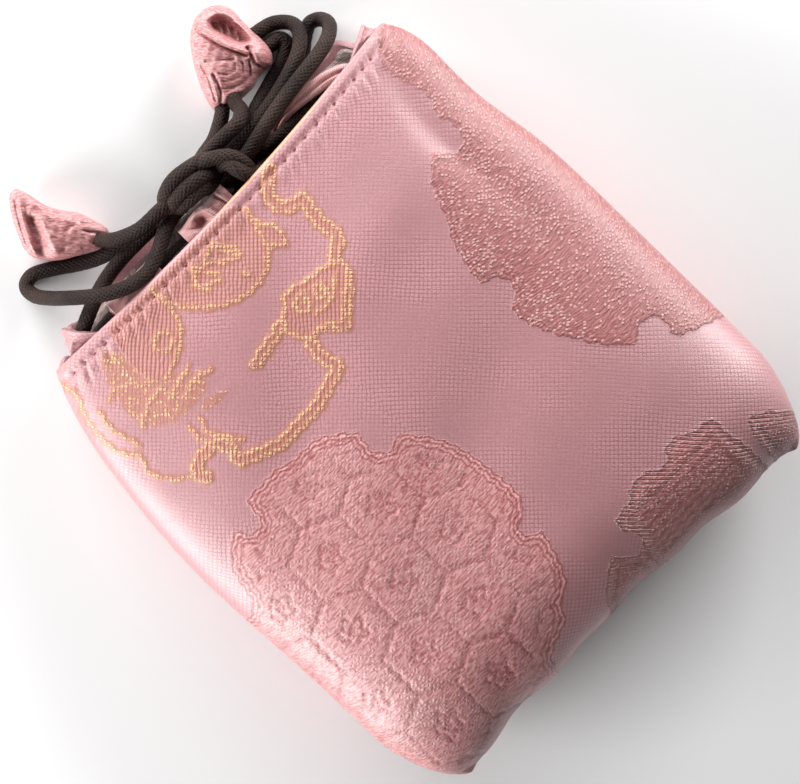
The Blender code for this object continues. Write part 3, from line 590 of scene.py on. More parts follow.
def brocade_material(name):
    """Silk brocade: a satin ground with a fine diamond net, raised speckled figures, and gold thread.

    The net is the product of two sine waves without their signs, which cross at 45 degrees to the panel. A
    figure's specks are the middles of scattered cells: pale painted glints, and in the pale roundel dark red
    flecks as well. Its edge has bands by depth inside its outline, and ribbed figures have ridges along one
    of the net's directions. Gold thread is beaded by the net. The rim's fold gets a painted glint, and the
    cloth is painted darker towards the base seam as shade.
    """
    made, tree, shader = new_finish(name)
    marks = {mark: made_node(tree, "ShaderNodeAttribute", attribute_name=mark).node.outputs["Fac"]
             for mark in ("raised", "depth", "ribs", "contour", "gold", "gold_fill", "rim", "quiet",
                          "pale", "cloudy", "seam")}
    raised, ribs = (step_at(tree, marks[mark], 0.42, 0.58) for mark in ("raised", "ribs"))
    figure = larger(tree, raised, ribs)

    # The weave: net, uneven tone, threads that float over it, fibres, and scattered specks
    place = made_node(tree, "ShaderNodeUVMap", uv_map="cloth")
    parts = made_node(tree, "ShaderNodeSeparateXYZ", turned_map(tree, place, 45.5, 1136.0, 1136.0)).node
    rise = [worked_out(tree, "ABSOLUTE", worked_out(tree, "SINE", product(tree, parts.outputs[way], math.pi)))
            for way in (0, 1)]
    net = product(tree, *rise)                                  # 0 on the net's lines, 1 in its cells
    wide = noise(tree, place, 60.0, 3.0)
    fine = noise(tree, place, 2600.0, 2.0)
    fibre = noise(tree, place, 5200.0, 2.0)
    streaks = noise(tree, turned_map(tree, place, 20, 2600.0, 420.0), 1.0, 3.0)
    floats = noise(tree, turned_map(tree, place, 45, 500.0, 2600.0), 1.0, 3.0, 0.6)
    cell = step_at(tree, added(tree, net, scaled(tree, fine, 0.9, -0.45)), -0.05, 0.70)
    rib_dots = product(tree, rise[0], scaled(tree, rise[1], 0.55, 0.45))
    bead = scaled(tree, fine, 0.5, scaled(tree, net, 0.55, -0.25))
    speck = tree.nodes.new("ShaderNodeTexVoronoi")
    speck.voronoi_dimensions = "2D"
    tree.links.new(turned_map(tree, place, 45, 1150.0, 1350.0), speck.inputs["Vector"])
    speck.inputs["Scale"].default_value = 1.0
    speck.inputs["Randomness"].default_value = 0.75
    chosen = made_node(tree, "ShaderNodeSeparateColor", speck.outputs["Color"])
    patchy = scaled(tree, wide, 1.3, -0.25)
    # Painted glints: pale highlight dots in some of the scattered cells, in patches, and fewer on quiet cloth
    painted_glints = product(tree, step_at(tree, speck.outputs["Distance"], 0.50, 0.18),
                     step_at(tree, worked_out(tree, "SUBTRACT", chosen, patchy), 0.0, 0.30))
    painted_glints = product(tree, painted_glints, scaled(tree, marks["quiet"], -0.65, 1.0))

    # Satin ground: rosy cells between darker net lines, which fade in patches, and pale streaks
    shown_net = scaled(tree, step_at(tree, wide, 0.36, 0.62), 0.60, 0.18)
    even = added(tree, product(tree, worked_out(tree, "SUBTRACT", cell, 0.62), shown_net), 0.62)
    ground = mixed(tree, even, (0.255, 0.070, 0.080), (0.54, 0.245, 0.265))
    ground = mixed(tree, product(tree, streaks, 0.22), ground, (0.66, 0.37, 0.38))

    # Speckled figures: deep red with painted glints, pale highlight dots in scattered cells; clouds are combed with
    # dark lines, mostly at their edge
    pebbled = mixed(tree, step_at(tree, floats, 0.30, 0.72), (0.25, 0.036, 0.036), (0.43, 0.118, 0.112))
    comb = product(tree, marks["cloudy"], rest_of(tree, step_at(tree, rise[1], 0.15, 0.75)))
    at_edge = rest_of(tree, step_at(tree, marks["depth"], 0.45, 0.95))
    comb = product(tree, comb, scaled(tree, at_edge, 0.65, 0.30))
    pebbled = mixed(tree, product(tree, comb, 0.85), pebbled, (0.13, 0.016, 0.018))
    # The painted glints lighten the speckled figures, less so in the clouds
    painted_glint_share = product(tree, painted_glints, scaled(tree, marks["cloudy"], -0.25, 0.62))
    pebbled = mixed(tree, painted_glint_share, pebbled, (0.72, 0.39, 0.36))

    # The pale roundel: soft pink with red flecks, closer together along its net of cells
    soft = mixed(tree, step_at(tree, floats, 0.32, 0.66), (0.36, 0.078, 0.078), (0.66, 0.31, 0.31))
    near_line = scaled(tree, marks["contour"], 0.62, scaled(tree, wide, 0.8, -0.40))
    flecks = product(tree, step_at(tree, speck.outputs["Distance"], 0.50, 0.22),
                     step_at(tree, added(tree, chosen, near_line), 0.64, 0.84))
    soft = mixed(tree, product(tree, flecks, 0.85), soft, (0.30, 0.028, 0.030))
    # A weaker painted glint in the pale roundel's scattered cells
    soft = mixed(tree, product(tree, painted_glints, 0.30), soft, (0.78, 0.50, 0.49))
    pebbled = mixed(tree, step_at(tree, marks["pale"], 0.42, 0.58), pebbled, soft)

    # Bands along a figure's edge, dark and light by turns, and its inner lines
    banding = tree.nodes.new("ShaderNodeValToRGB")
    for inset, tint in ((0.02, (0.60, 0.28, 0.28)), (0.10, (0.64, 0.30, 0.30)), (0.15, (1.30, 1.50, 1.50)),
                        (0.22, (1.15, 1.20, 1.20)), (0.27, (0.60, 0.28, 0.28)), (0.34, (0.70, 0.42, 0.42)),
                        (0.40, (1.20, 1.30, 1.30)), (0.48, (1.10, 1.15, 1.15)), (0.53, (0.66, 0.36, 0.36)),
                        (0.60, (0.80, 0.60, 0.60)), (0.66, (1.15, 1.20, 1.20)), (0.78, (1, 1, 1))):
        banding.color_ramp.elements.new(inset).color = (*tint, 1)
    for stop in (banding.color_ramp.elements[0], banding.color_ramp.elements[-1]):
        stop.color = (1, 1, 1, 1)
    tree.links.new(marks["depth"], banding.inputs[0])
    edged = scaled(tree, marks["pale"], 0.20, scaled(tree, marks["cloudy"], -0.25, 0.80))
    pebbled = mixed(tree, edged, pebbled, banding.outputs[0], "MULTIPLY")
    colour = mixed(tree, raised, ground, pebbled)
    contour = product(tree, step_at(tree, marks["contour"], 0.62, 0.92), raised)
    line = mixed(tree, marks["pale"], (0.62, 0.27, 0.24), (0.34, 0.075, 0.080))
    colour = mixed(tree, product(tree, contour, scaled(tree, floats, 0.9, -0.05)), colour, line)

    # Ribbed blossoms and leaves
    ribbed = mixed(tree, step_at(tree, rib_dots, 0.20, 0.85), (0.33, 0.080, 0.064), (0.54, 0.220, 0.190))
    colour = mixed(tree, ribs, colour, ribbed)

    # Gold: thread along its lines in a brown shade, leaf lines and dots in its clusters, and a painted orange glint
    # on the rim's fold
    thread = step_at(tree, added(tree, marks["gold"], scaled(tree, fine, 0.30, -0.15)), 0.70, 0.78)
    patches = scaled(tree, marks["gold_fill"], 0.85, scaled(tree, streaks, 0.9, -0.45))
    patches = step_at(tree, patches, 0.50, 0.78)
    leaves = noise(tree, place, 300.0, 1.0)
    away = worked_out(tree, "ABSOLUTE", worked_out(tree, "SUBTRACT", leaves, 0.5))
    leaf_lines = rest_of(tree, step_at(tree, away, 0.022, 0.05))
    leaf_dots = product(tree, step_at(tree, leaves, 0.52, 0.62), step_at(tree, floats, 0.50, 0.62))
    glitter = product(tree, larger(tree, leaf_lines, product(tree, leaf_dots, 0.6)),
                      product(tree, patches, step_at(tree, bead, 0.12, 0.45)))
    gold = larger(tree, product(tree, thread, step_at(tree, bead, 0.12, 0.40)), glitter)
    shade = larger(tree, step_at(tree, marks["gold"], 0.15, 0.62), patches)
    colour = mixed(tree, product(tree, shade, 0.70), colour, (0.42, 0.125, 0.055))
    colour = mixed(tree, gold, colour, (0.80, 0.46, 0.17))
    painted_rim_glint = product(tree, step_at(tree, marks["rim"], 0.35, 0.75), 0.75)
    colour = mixed(tree, painted_rim_glint, colour, (0.78, 0.34, 0.12))

    # Pale fibres over all of it, an uneven tone, and painted shade that darkens the cloth towards the base seam
    colour = mixed(tree, product(tree, fibre, 0.14), colour, (0.75, 0.50, 0.50))
    tone = scaled(tree, wide, 0.24, scaled(tree, marks["seam"], -0.42, 0.88))
    colour = mixed(tree, 1.0, colour, made_node(tree, "ShaderNodeCombineXYZ", tone, tone, tone), "MULTIPLY")
    tree.links.new(colour, shader.inputs["Base Color"])
    rough = added(tree, scaled(tree, figure, 0.06, 0.34), product(tree, fine, 0.12))
    tree.links.new(rough, shader.inputs["Roughness"])

    relief = product(tree, cell, product(tree, scaled(tree, figure, -0.17, 0.17),
                                         scaled(tree, shown_net, 0.7, 0.4)))
    pebbles = product(tree, scaled(tree, painted_glints, 0.7, floats), scaled(tree, marks["pale"], -0.62, 1.0))
    relief = added(tree, relief, product(tree, pebbles, raised))
    relief = worked_out(tree, "SUBTRACT", relief, product(tree, comb, 0.9))
    relief = added(tree, relief, product(tree, rib_dots, product(tree, ribs, 0.5)))
    relief = added(tree, relief, product(tree, gold, 0.6))
    relief = added(tree, relief, product(tree, fibre, 0.25))
    finished(tree, shader, {"Sheen Weight": 0.45, "Sheen Roughness": 0.35, "Sheen Tint": (1.0, 0.62, 0.62, 1),
                            "Specular IOR Level": 1.0, "Coat Weight": 0.22, "Coat Roughness": 0.38},
             relief, 0.00022, 0.9)
    return made


brocade = brocade_material("silk brocade")
front_cloth = panel_cloth("front_cloth", True, 0.00045, 290)
front_cloth.data.materials.append(brocade)
cross_the_mouth(front_cloth)
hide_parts("outer_front_panel")


# Back cloth
# The same silk brocade behind, on which the pouch lies. It is cut a little longer, so that its rim stands
# past the front's, and it is sewn to the front cloth along the sides and the base.
back_cloth = panel_cloth("back_cloth", False, 0.0007, 190)
back_cloth.data.materials.append(brocade)
cross_the_mouth(back_cloth)
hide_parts("outer_back_panel")


# Side pleats
# The brocade at both sides of the mouth, pushed inwards by the drawstring. Each is a three-cornered fold of
# the back cloth with the hem along its upper side.
def side_pleat(name, tip, inner, low, bulge):
    """A three-cornered fold: its rim runs from the tip to the inner corner, and it narrows to the low corner.

    It swells as one sine wave both ways, has a roll and a stitched groove below its rim, and is 1.5 mm thick.
    """
    tip, inner, low = (np.array(corner) / 1000 for corner in (tip, inner, low))
    along = np.linspace(0, 1, 60)[None, :, None]
    down = np.concatenate([np.linspace(0, 0.12, 8)[:-1], np.linspace(0.12, 1, 34)])[:, None, None]
    face = (tip * (1 - along) + inner * along) * (1 - down) + low * down
    normal = np.cross(inner - tip, low - tip)
    normal *= np.sign(normal[2]) / np.linalg.norm(normal)
    dome = np.sin(math.pi * along) * np.sin(math.pi * np.clip(down * 0.8 + 0.2, 0, 1))
    below = down * np.linalg.norm(low - (tip + inner) / 2) * 1000
    ridge = 0.35 * np.exp(-((below - 0.9) / 0.8) ** 2) - 0.40 * np.exp(-((below - 2.1) / 0.5) ** 2)
    ridge = ridge + 0.15 * np.cos(2 * math.pi * along * 2.2) * np.exp(-((below - 3) / 1.2) ** 2)
    shown = face + normal * (dome * bulge + ridge) / 1000
    behind = face + normal * (dome * bulge - 1.5) / 1000
    if np.dot(np.cross(shown[0, 1] - shown[0, 0], shown[1, 0] - shown[0, 0]), normal) < 0:
        shown, behind = shown[:, ::-1], behind[:, ::-1]
    made = cloth_solid(name, shown, behind)
    made.data.materials.append(brocade)
    cross_the_mouth(made)
    return made


left_pleat = side_pleat("left_side_pleat", (-42.6, 63.2, 10.0), (-37.8, 56.8, 14.4), (-45.4, 57.2, 9.6), 1.6)
right_pleat = side_pleat("right_side_pleat", (47.6, 63.2, 9.6), (38.4, 58.4, 13.2), (49.4, 59.6, 9.4), 1.0)


# Hem stitches
# Dark red sewing thread, run by hand in and out of both hems. It leaves a short stitch in every pit, and
# with it both cloths are finished.
def unit(vectors):
    """Directions of length 1."""
    return vectors / np.linalg.norm(vectors, axis=-1, keepdims=True)


def hem_stitches(name, front, colour):
    """Short rounded threads that lie along the stitch line, each in its own pit.

    A stitch is 1.1 mm long. Its radius falls from its middle as the root of 1.04 less the square of the way
    to its end, and its ends go down into the cloth by the same square.
    """
    share = 1 - stitch_line / 1000 / (side_length - base_rounding)
    line = settle(panel_face(front, np.array([base_rounding] * 2), np.array([share, share + 0.001]), 0.0, 1600))
    up = np.cross(np.gradient(line[0], axis=0), line[1] - line[0])
    up *= (1 if front else -1) / np.linalg.norm(up, axis=1)[:, None]
    arc = travelled(line[0]) * 1000
    places = np.interp(np.arange(2, int(stitch_count(arc[-1])) - 1), stitch_count(arc), arc)
    half_stitch, thread_radius = 0.55, 0.00017                  # millimetres and metres
    way = np.linspace(-1, 1, 9)
    where = places[:, None] + half_stitch * way
    centre = np.stack([np.interp(where, arc, line[0][:, axis]) for axis in range(3)], axis=-1)
    normal = np.stack([np.interp(where, arc, up[:, axis]) for axis in range(3)], axis=-1)
    centre = centre + normal * (-0.00004 - 0.00042 * way ** 2)[None, :, None]
    beside = np.cross(normal, unit(np.gradient(centre, axis=1)))
    angle = np.linspace(0, 2 * math.pi, 8, endpoint=False)
    radius = thread_radius * np.sqrt(1.04 - way ** 2)
    rings = centre[:, :, None] + radius[None, :, None, None] * (
        np.cos(angle)[:, None] * beside[:, :, None] + np.sin(angle)[:, None] * normal[:, :, None])
    index = np.arange(rings.size // 3).reshape(rings.shape[:3])
    after = np.roll(index, -1, axis=2)
    faces = np.stack([index[:, :-1], after[:, :-1], after[:, 1:], index[:, 1:]], axis=-1).reshape(-1, 4).tolist()
    faces += index[:, 0, ::-1].tolist() + index[:, -1].tolist()
    made = skin(name, rings, faces)
    made.data.materials.append(plain_material(name, colour, 0.5))
    cross_the_mouth(made)
    return made


front_stitches = hem_stitches("front_hem_stitches", True, (0.36, 0.08, 0.09))
back_stitches = hem_stitches("back_hem_stitches", False, (0.42, 0.10, 0.12))


# Wadding
# Soft undyed batting, laid between cloth and lining in both panels and held by their seams. It is cut off
# below the turned hem.
def layer(name, front, outer_depth, inner_depth, top_share, spacing, columns):
    """A layer of one panel between two depths, from the base up to a share of the body's length.

    A depth has its least, at the mouth, and what is added where the panel is full, 30 mm below the rim.
    """
    steps, shares = body_rows(spacing)
    shares = shares * top_share
    full = smooth(((side_length - base_rounding) * (1 - shares) - 0.018) / 0.012)
    return cloth_solid(name, *(settle(panel_face(front, steps, shares, least + more * full, columns))
                               for least, more in (outer_depth, inner_depth)))


wadding_white = plain_material("undyed wadding", (0.60, 0.52, 0.48), 0.95)
for side in ("front", "back"):
    piece = layer(f"{side}_wadding_layer", side == "front", (0.0016, 0), (0.0023, 0.0021), 0.90, 0.003, 60)
    piece.data.materials.append(wadding_white)
    cross_the_mouth(piece)
    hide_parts(f"{side}_wadding")


# Lining
# Taupe satin inside both panels, seamed to a bag of its own. It is sewn to the turned edge of the brocade a
# little below the rim, so that it covers the wadding.
def satin_material(name, colour, crease):
    """Satin with fine ribs across it, uneven tone and soft creases: the ribs are a sine wave without its sign."""
    made, tree, shader = new_finish(name)
    place = made_node(tree, "ShaderNodeUVMap", uv_map="cloth")
    wide = noise(tree, place, 110.0, 4.0, 0.55)
    fine = noise(tree, place, 3800.0, 2.0)
    parts = made_node(tree, "ShaderNodeSeparateXYZ", place).node
    rib = worked_out(tree, "ABSOLUTE", worked_out(tree, "SINE", product(tree, parts.outputs[1], 7200.0)))
    tone = added(tree, product(tree, rib, 0.30), product(tree, wide, 0.55))
    tone = added(tree, tone, product(tree, fine, 0.25))
    dark, light = (tuple(part * share for part in colour) for share in (0.62, 1.30))
    tree.links.new(mixed(tree, step_at(tree, tone, 0.25, 0.90), dark, light), shader.inputs["Base Color"])
    tree.links.new(scaled(tree, fine, 0.16, 0.28), shader.inputs["Roughness"])
    finished(tree, shader, {"Sheen Weight": 0.35, "Specular IOR Level": 0.9},
             scaled(tree, wide, crease, scaled(tree, rib, 0.06, 0.0)), 0.001)
    return made


satin = satin_material("taupe satin", (0.36, 0.25, 0.23), 2.2)
for side in ("front", "back"):
    piece = layer(f"{side}_lining_layer", side == "front", (0.0017, 0.0030), (0.0029, 0.0023), 0.985, 0.001, 120)
    piece.data.materials.append(satin)
    cross_the_mouth(piece)
    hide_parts(f"{side}_lining")


# Ribbon loops
# Six short lengths of pink satin ribbon, sewn inside the hem. Five are folded into tunnels for the
# drawstrings; the right one in front is pulled out and folded along itself into a narrow bow.
def lining_height(front, place):
    """Height of the lining's inner face at a place across the mouth."""
    steps, shares = np.array([base_rounding] * 2), np.array([0.93, 0.99])
    face = panel_face(front, steps, shares, 0.0029, 200)
    return float(np.mean([np.interp(place, row[:, 0], row[:, 2]) for row in face]))


ribbon_width, ribbon_thickness = 0.0135, 0.0005
tunnel_height, tunnel_length = 0.0040, 0.0078
tab = 0.0055                    # the end that is sewn against the lining
ribbon_pink = satin_material("pink ribbon", (0.52, 0.235, 0.225), 0.5)
rumples = {                     # hills on the upper side: place, sizes, turn, height in millimetres
    "front middle": ((-5.2, 59.0, 2.4, 0.6, -12, 1.0), (-3.2, 57.4, 2.0, 0.6, 105, 1.0),
                     (-5.6, 57.3, 1.3, 1.1, 0, -2.1), (0.5, 57.8, 3.4, 0.30, 100, -0.8),
                     (1.0, 57.8, 3.0, 0.30, 100, 0.45), (-8.0, 57.8, 2.0, 0.4, -42, -0.8),
                     (-9.2, 56.8, 1.5, 1.5, 0, 0.5), (-1.4, 57.6, 2.2, 0.8, 80, 0.4)),
    "front left": ((-25, 59.0, 6, 0.8, 12, -0.9), (-29, 58.2, 2, 2, 0, 0.6), (-22, 58, 2.5, 1, 30, -0.5)),
}


def ribbon_loop(name, centre_x, tip_y, face_z, front, hills=()):
    """A ribbon folded into a tunnel, with a tab sewn against the lining. Its upper side is rumpled by hills.

    Its line runs along the tab and the top, round half a circle at the mouth, back along the bottom, and
    round again up to the top. It is carried across the ribbon's width, half its thickness to each side.
    """
    turn = 1.0 if front else -1.0
    columns, straight_rows, bend_rows = 55, 43, 25
    radius = (tunnel_height + ribbon_thickness) / 2
    top = face_z - turn * (0.0003 + ribbon_thickness / 2)
    bottom = top - turn * 2 * radius
    near = tip_y - ribbon_thickness / 2 - radius
    far = near - (tunnel_length - tunnel_height)
    bend = np.linspace(0, math.pi, bend_rows)
    line = [(y, top) for y in np.linspace(far - radius - tab, near, straight_rows + 1)[:-1]]
    line += [(near + radius * math.sin(t), top - turn * radius * (1 - math.cos(t))) for t in bend]
    line += [(far - radius * math.sin(t), bottom + turn * radius * (1 - math.cos(t))) for t in bend[:-3]]
    line = np.array(line)
    upper = smooth((turn * (line[:, 1] - (top + bottom) / 2) / radius + 0.6) / 1.2)
    upper *= np.arange(len(line)) < straight_rows + bend_rows
    across = np.linspace(-ribbon_width / 2, ribbon_width / 2, columns)
    slope = np.gradient(line, axis=0)
    normal = unit(np.stack([slope[:, 1], -slope[:, 0]], axis=-1))
    faces = []
    for side_way in (1, -1):
        ends = line + side_way * turn * normal * ribbon_thickness / 2
        face = np.stack([np.broadcast_to(centre_x + across, (len(line), columns)),
                         np.repeat(ends[:, :1], columns, 1), np.repeat(ends[:, 1:], columns, 1)], axis=-1)
        face = settle(face)
        face[..., 2] += hills_at(face[..., 0] * 1000, face[..., 1] * 1000, hills) * upper[:, None] / 1000
        face[..., 1] += 0.0004 * np.sin(across * 700 + centre_x * 900)[None, :] * upper[:, None]
        faces.append(face)
    made = cloth_solid(name, *faces)
    made.data.materials.append(ribbon_pink)
    return made


def smooth_route(route, spacing):
    """Points at an even spacing along a smooth curve through a route's own points.

    Between two points the curve is a cubic that leaves each of them along the line from the point before it
    to the point after it.
    """
    knots = np.array(route)
    padded = np.vstack([2 * knots[0] - knots[1], knots, 2 * knots[-1] - knots[-2]])
    fine = []
    for before, start, end, after in zip(padded, padded[1:], padded[2:], padded[3:]):
        t = np.linspace(0, 1, 24, endpoint=False)[:, None]
        fine.append(0.5 * (2 * start + (end - before) * t + (2 * before - 5 * start + 4 * end - after) * t ** 2
                           + (3 * start - before - 3 * end + after) * t ** 3))
    fine = np.vstack(fine + [knots[-1:]])
    gone = travelled(fine)
    places = np.linspace(0, gone[-1], max(3, int(round(gone[-1] / spacing)) + 1))
    return np.stack([np.interp(places, gone, fine[:, axis]) for axis in range(3)], axis=-1)


def swept(name, rings, map_name, round_metres, spacing):
    """A closed skin over rings of points, one for each point of a path. The map runs round and along."""
    count, sides = rings.shape[:2]
    index = np.arange(count * sides).reshape(count, sides)
    after = np.roll(index, -1, axis=1)
    faces = np.stack([index[:-1], after[:-1], after[1:], index[1:]], axis=-1).reshape(-1, 4).tolist()
    faces += [index[0][::-1].tolist(), index[-1].tolist()]
    made = skin(name, rings, faces)
    row, side = np.arange(count - 1)[:, None, None], np.arange(sides)[None, :, None]
    places = np.zeros((len(made.data.loops), 2))
    walls = (count - 1) * sides * 4
    places[:walls, 0] = ((side + np.array([0, 1, 1, 0])) / sides * round_metres + 0 * row).reshape(-1)
    places[:walls, 1] = ((row + np.array([0, 0, 1, 1])) * spacing + 0 * side).reshape(-1)
    made.data.uv_layers.new(name=map_name).data.foreach_set("uv", places.ravel())
    return made


def folded_bow(name, route):
    """A ribbon folded along itself: two plies side by side with a groove between, narrower towards its ends.

    Its section is a flattened ellipse with a narrow dip, in the shape of a bell, in the middle of its top.
    """
    spacing = 0.00025
    path = smooth_route(route, spacing)
    ahead = np.gradient(path, axis=0)
    out = unit(np.stack([ahead[:, 1], -ahead[:, 0], 0 * ahead[:, 0]], axis=-1))
    up = unit(np.cross(out, ahead))
    up *= np.sign(up[:, 2:])
    angle = np.linspace(0, 2 * math.pi, 48, endpoint=False)
    share = np.linspace(0, 1, len(path))[:, None]
    half = 0.0017 * (1 - 0.45 * smooth((share - 0.45) / 0.5)) * (1 - 0.4 * smooth((0.15 - share) / 0.15))
    wide = np.cos(angle) * half
    groove = 0.0009 * np.exp(-((wide - 0.0002 * np.sin(9 * share)) / 0.00028) ** 2) * (np.sin(angle) > 0)
    high = np.sign(np.sin(angle)) * np.abs(np.sin(angle)) ** 0.7 * 0.0010 * (1 + 0.1 * np.sin(23 * share)) - groove
    rings = path[:, None] + wide[..., None] * out[:, None] + high[..., None] * up[:, None]
    if np.dot(np.cross(out[0], up[0]), ahead[0]) < 0:
        rings = rings[:, ::-1]
    return swept(name, rings, "cloth", 0.009, spacing)


front_right_route = [
    (0.0385, 0.0525, 0.0112), (0.0392, 0.0560, 0.0128), (0.0380, 0.0584, 0.0140), (0.0345, 0.0599, 0.0146),
    (0.0307, 0.0607, 0.0142), (0.0275, 0.0612, 0.0136), (0.0243, 0.0614, 0.0128), (0.0214, 0.0612, 0.0120),
    (0.0192, 0.0603, 0.0110), (0.0182, 0.0586, 0.0100), (0.0180, 0.0562, 0.0094), (0.0184, 0.0530, 0.0090)]
for place, front_share, back_share in zip(("left", "middle", "right"), (-0.51, -0.08, 0.55), (-0.52, 0.0, 0.52)):
    x = front_share * mouth_half_width
    if place == "right":
        piece = folded_bow("front_ribbon_right", front_right_route)
        piece.data.materials.append(ribbon_pink)
    else:
        piece = ribbon_loop(f"front_ribbon_{place}", x, middle_y - front_rim_dip * (1 - front_share ** 2) + 0.0046,
                            lining_height(True, x), True, rumples[f"front {place}"])
    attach(piece, "front")
    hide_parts(f"front_loop_{place}")
    x = back_share * mouth_half_width
    piece = ribbon_loop(f"back_ribbon_{place}", x, middle_y + back_rim_rise * (1 - back_share ** 6) - 0.0040,
                        lining_height(False, x), False)
    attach(piece, "back")
    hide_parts(f"back_loop_{place}")


# Drawstrings and bow
# Waxed dark brown cord, doubled. Both run round the mouth through the ribbon loops, are tied in a bow in the
# middle of the front and end in the two buds.
cord_diameter = 0.0032
cord_step = 0.0003              # from one ring of points to the next
inner_run_route = [
    (0.0050, 0.0634, 0.0158), (0.0068, 0.0620, 0.0178), (0.0074, 0.0594, 0.0182), (0.0086, 0.0572, 0.0158),
    (0.0124, 0.0560, 0.0132), (0.0200, 0.0550, 0.0117), (0.0275, 0.0549, 0.0116), (0.0345, 0.0548, 0.0114),
    (0.0398, 0.0536, 0.0101), (0.0424, 0.0527, 0.0083), (0.0402, 0.0526, 0.0065), (0.0338, 0.0536, 0.0059),
    (0.0260, 0.0538, 0.0059), (0.0130, 0.0539, 0.0058), (0.0000, 0.0539, 0.0057), (-0.0130, 0.0539, 0.0058),
    (-0.0260, 0.0538, 0.0059), (-0.0335, 0.0536, 0.0059), (-0.0400, 0.0526, 0.0064), (-0.0424, 0.0526, 0.0081),
    (-0.0396, 0.0536, 0.0104), (-0.0340, 0.0547, 0.0117), (-0.0255, 0.0549, 0.0118), (-0.0185, 0.0551, 0.0120),
    (-0.0118, 0.0554, 0.0133), (-0.0040, 0.0555, 0.0135), (0.0024, 0.0556, 0.0135), (0.0054, 0.0567, 0.0122),
    (0.0058, 0.0584, 0.0107), (0.0044, 0.0600, 0.0101),
]
outer_run_route = [
    (0.0078, 0.0606, 0.0078), (0.0120, 0.0600, 0.0091), (0.0160, 0.0591, 0.0107), (0.0205, 0.0585, 0.0116),
    (0.0275, 0.0584, 0.0116), (0.0345, 0.0584, 0.0114), (0.0402, 0.0573, 0.0101), (0.0428, 0.0564, 0.0083),
    (0.0400, 0.0564, 0.0064), (0.0335, 0.0572, 0.0059), (0.0260, 0.0574, 0.0059), (0.0130, 0.0575, 0.0058),
    (0.0000, 0.0575, 0.0057), (-0.0130, 0.0575, 0.0058), (-0.0260, 0.0574, 0.0059), (-0.0335, 0.0573, 0.0059),
    (-0.0400, 0.0567, 0.0064), (-0.0428, 0.0572, 0.0083), (-0.0408, 0.0590, 0.0102), (-0.0365, 0.0610, 0.0108),
    (-0.0320, 0.0628, 0.0102), (-0.0270, 0.0641, 0.0090), (-0.0220, 0.0646, 0.0082), (-0.0160, 0.0646, 0.0083),
    (-0.0104, 0.0644, 0.0084),
]
bow_left_route = [
    (-0.0098, 0.0628, 0.0124), (-0.0128, 0.0617, 0.0140), (-0.0168, 0.0596, 0.0156), (-0.0210, 0.0582, 0.0168),
    (-0.0255, 0.0587, 0.0172), (-0.0295, 0.0605, 0.0168), (-0.0330, 0.0630, 0.0156), (-0.0365, 0.0662, 0.0126),
    (-0.0395, 0.0694, 0.0076), (-0.0416, 0.0725, 0.0034), (-0.0415, 0.0753, 0.0018), (-0.0388, 0.0760, 0.0018),
    (-0.0350, 0.0740, 0.0018), (-0.0310, 0.0712, 0.0020), (-0.0270, 0.0688, 0.0028), (-0.0225, 0.0672, 0.0042),
    (-0.0160, 0.0659, 0.0049), (-0.0102, 0.0652, 0.0049),
]
bow_right_long_route = [
    (0.0052, 0.0643, 0.0085), (0.0085, 0.0643, 0.0085), (0.0120, 0.0645, 0.0082), (0.0160, 0.0654, 0.0076),
    (0.0200, 0.0669, 0.0060), (0.0260, 0.0687, 0.0037), (0.0310, 0.0702, 0.0020), (0.0340, 0.0722, 0.0018),
    (0.0336, 0.0740, 0.0018), (0.0310, 0.0745, 0.0018), (0.0282, 0.0750, 0.0018), (0.0272, 0.0768, 0.0018),
    (0.0286, 0.0784, 0.0018), (0.0312, 0.0783, 0.0018), (0.0350, 0.0773, 0.0018), (0.0376, 0.0748, 0.0027),
    (0.0377, 0.0722, 0.0052), (0.0350, 0.0692, 0.0080), (0.0300, 0.0670, 0.0098), (0.0230, 0.0652, 0.0108),
    (0.0160, 0.0642, 0.0116), (0.0098, 0.0638, 0.0119), (0.0054, 0.0635, 0.0120),
]
bow_right_short_route = [
    (0.0050, 0.0603, 0.0140), (0.0085, 0.0607, 0.0137), (0.0125, 0.0611, 0.0147), (0.0190, 0.0624, 0.0158),
    (0.0270, 0.0638, 0.0152), (0.0350, 0.0648, 0.0134), (0.0400, 0.0660, 0.0100), (0.0430, 0.0682, 0.0058),
    (0.0428, 0.0706, 0.0026), (0.0404, 0.0717, 0.0018), (0.0372, 0.0700, 0.0018), (0.0330, 0.0668, 0.0025),
    (0.0270, 0.0652, 0.0044), (0.0200, 0.0632, 0.0049), (0.0140, 0.0627, 0.0049), (0.0092, 0.0627, 0.0049),
    (0.0048, 0.0626, 0.0049),
]
tail_left_route = [
    (-0.0244, 0.0719, 0.0047), (-0.0234, 0.0709, 0.0055), (-0.0210, 0.0682, 0.0098), (-0.0160, 0.0659, 0.0134),
    (-0.0100, 0.0655, 0.0148),
]
tail_right_upper_route = [
    (0.0147, 0.0722, 0.0050), (0.0136, 0.0711, 0.0058), (0.0108, 0.0694, 0.0072), (0.0080, 0.0681, 0.0092),
    (0.0050, 0.0676, 0.0099),
]
tail_right_lower_route = [
    (0.0178, 0.0719, 0.0068), (0.0172, 0.0704, 0.0078), (0.0168, 0.0684, 0.0112), (0.0146, 0.0669, 0.0143),
    (0.0104, 0.0668, 0.0146), (0.0052, 0.0668, 0.0133),
]


def carried_along(path):
    """Two directions across a path, which turn as little as they can from each point to the next."""
    ahead = unit(np.gradient(path, axis=0))
    up = np.cross(ahead[0], (0.0, 0.0, 1.0) if abs(ahead[0][2]) < 0.9 else (1.0, 0.0, 0.0))
    ups = []
    for direction in ahead:
        up = up - direction * np.dot(up, direction)
        up /= np.linalg.norm(up)
        ups.append(up)
    return np.array(ups), np.cross(ahead, ups)


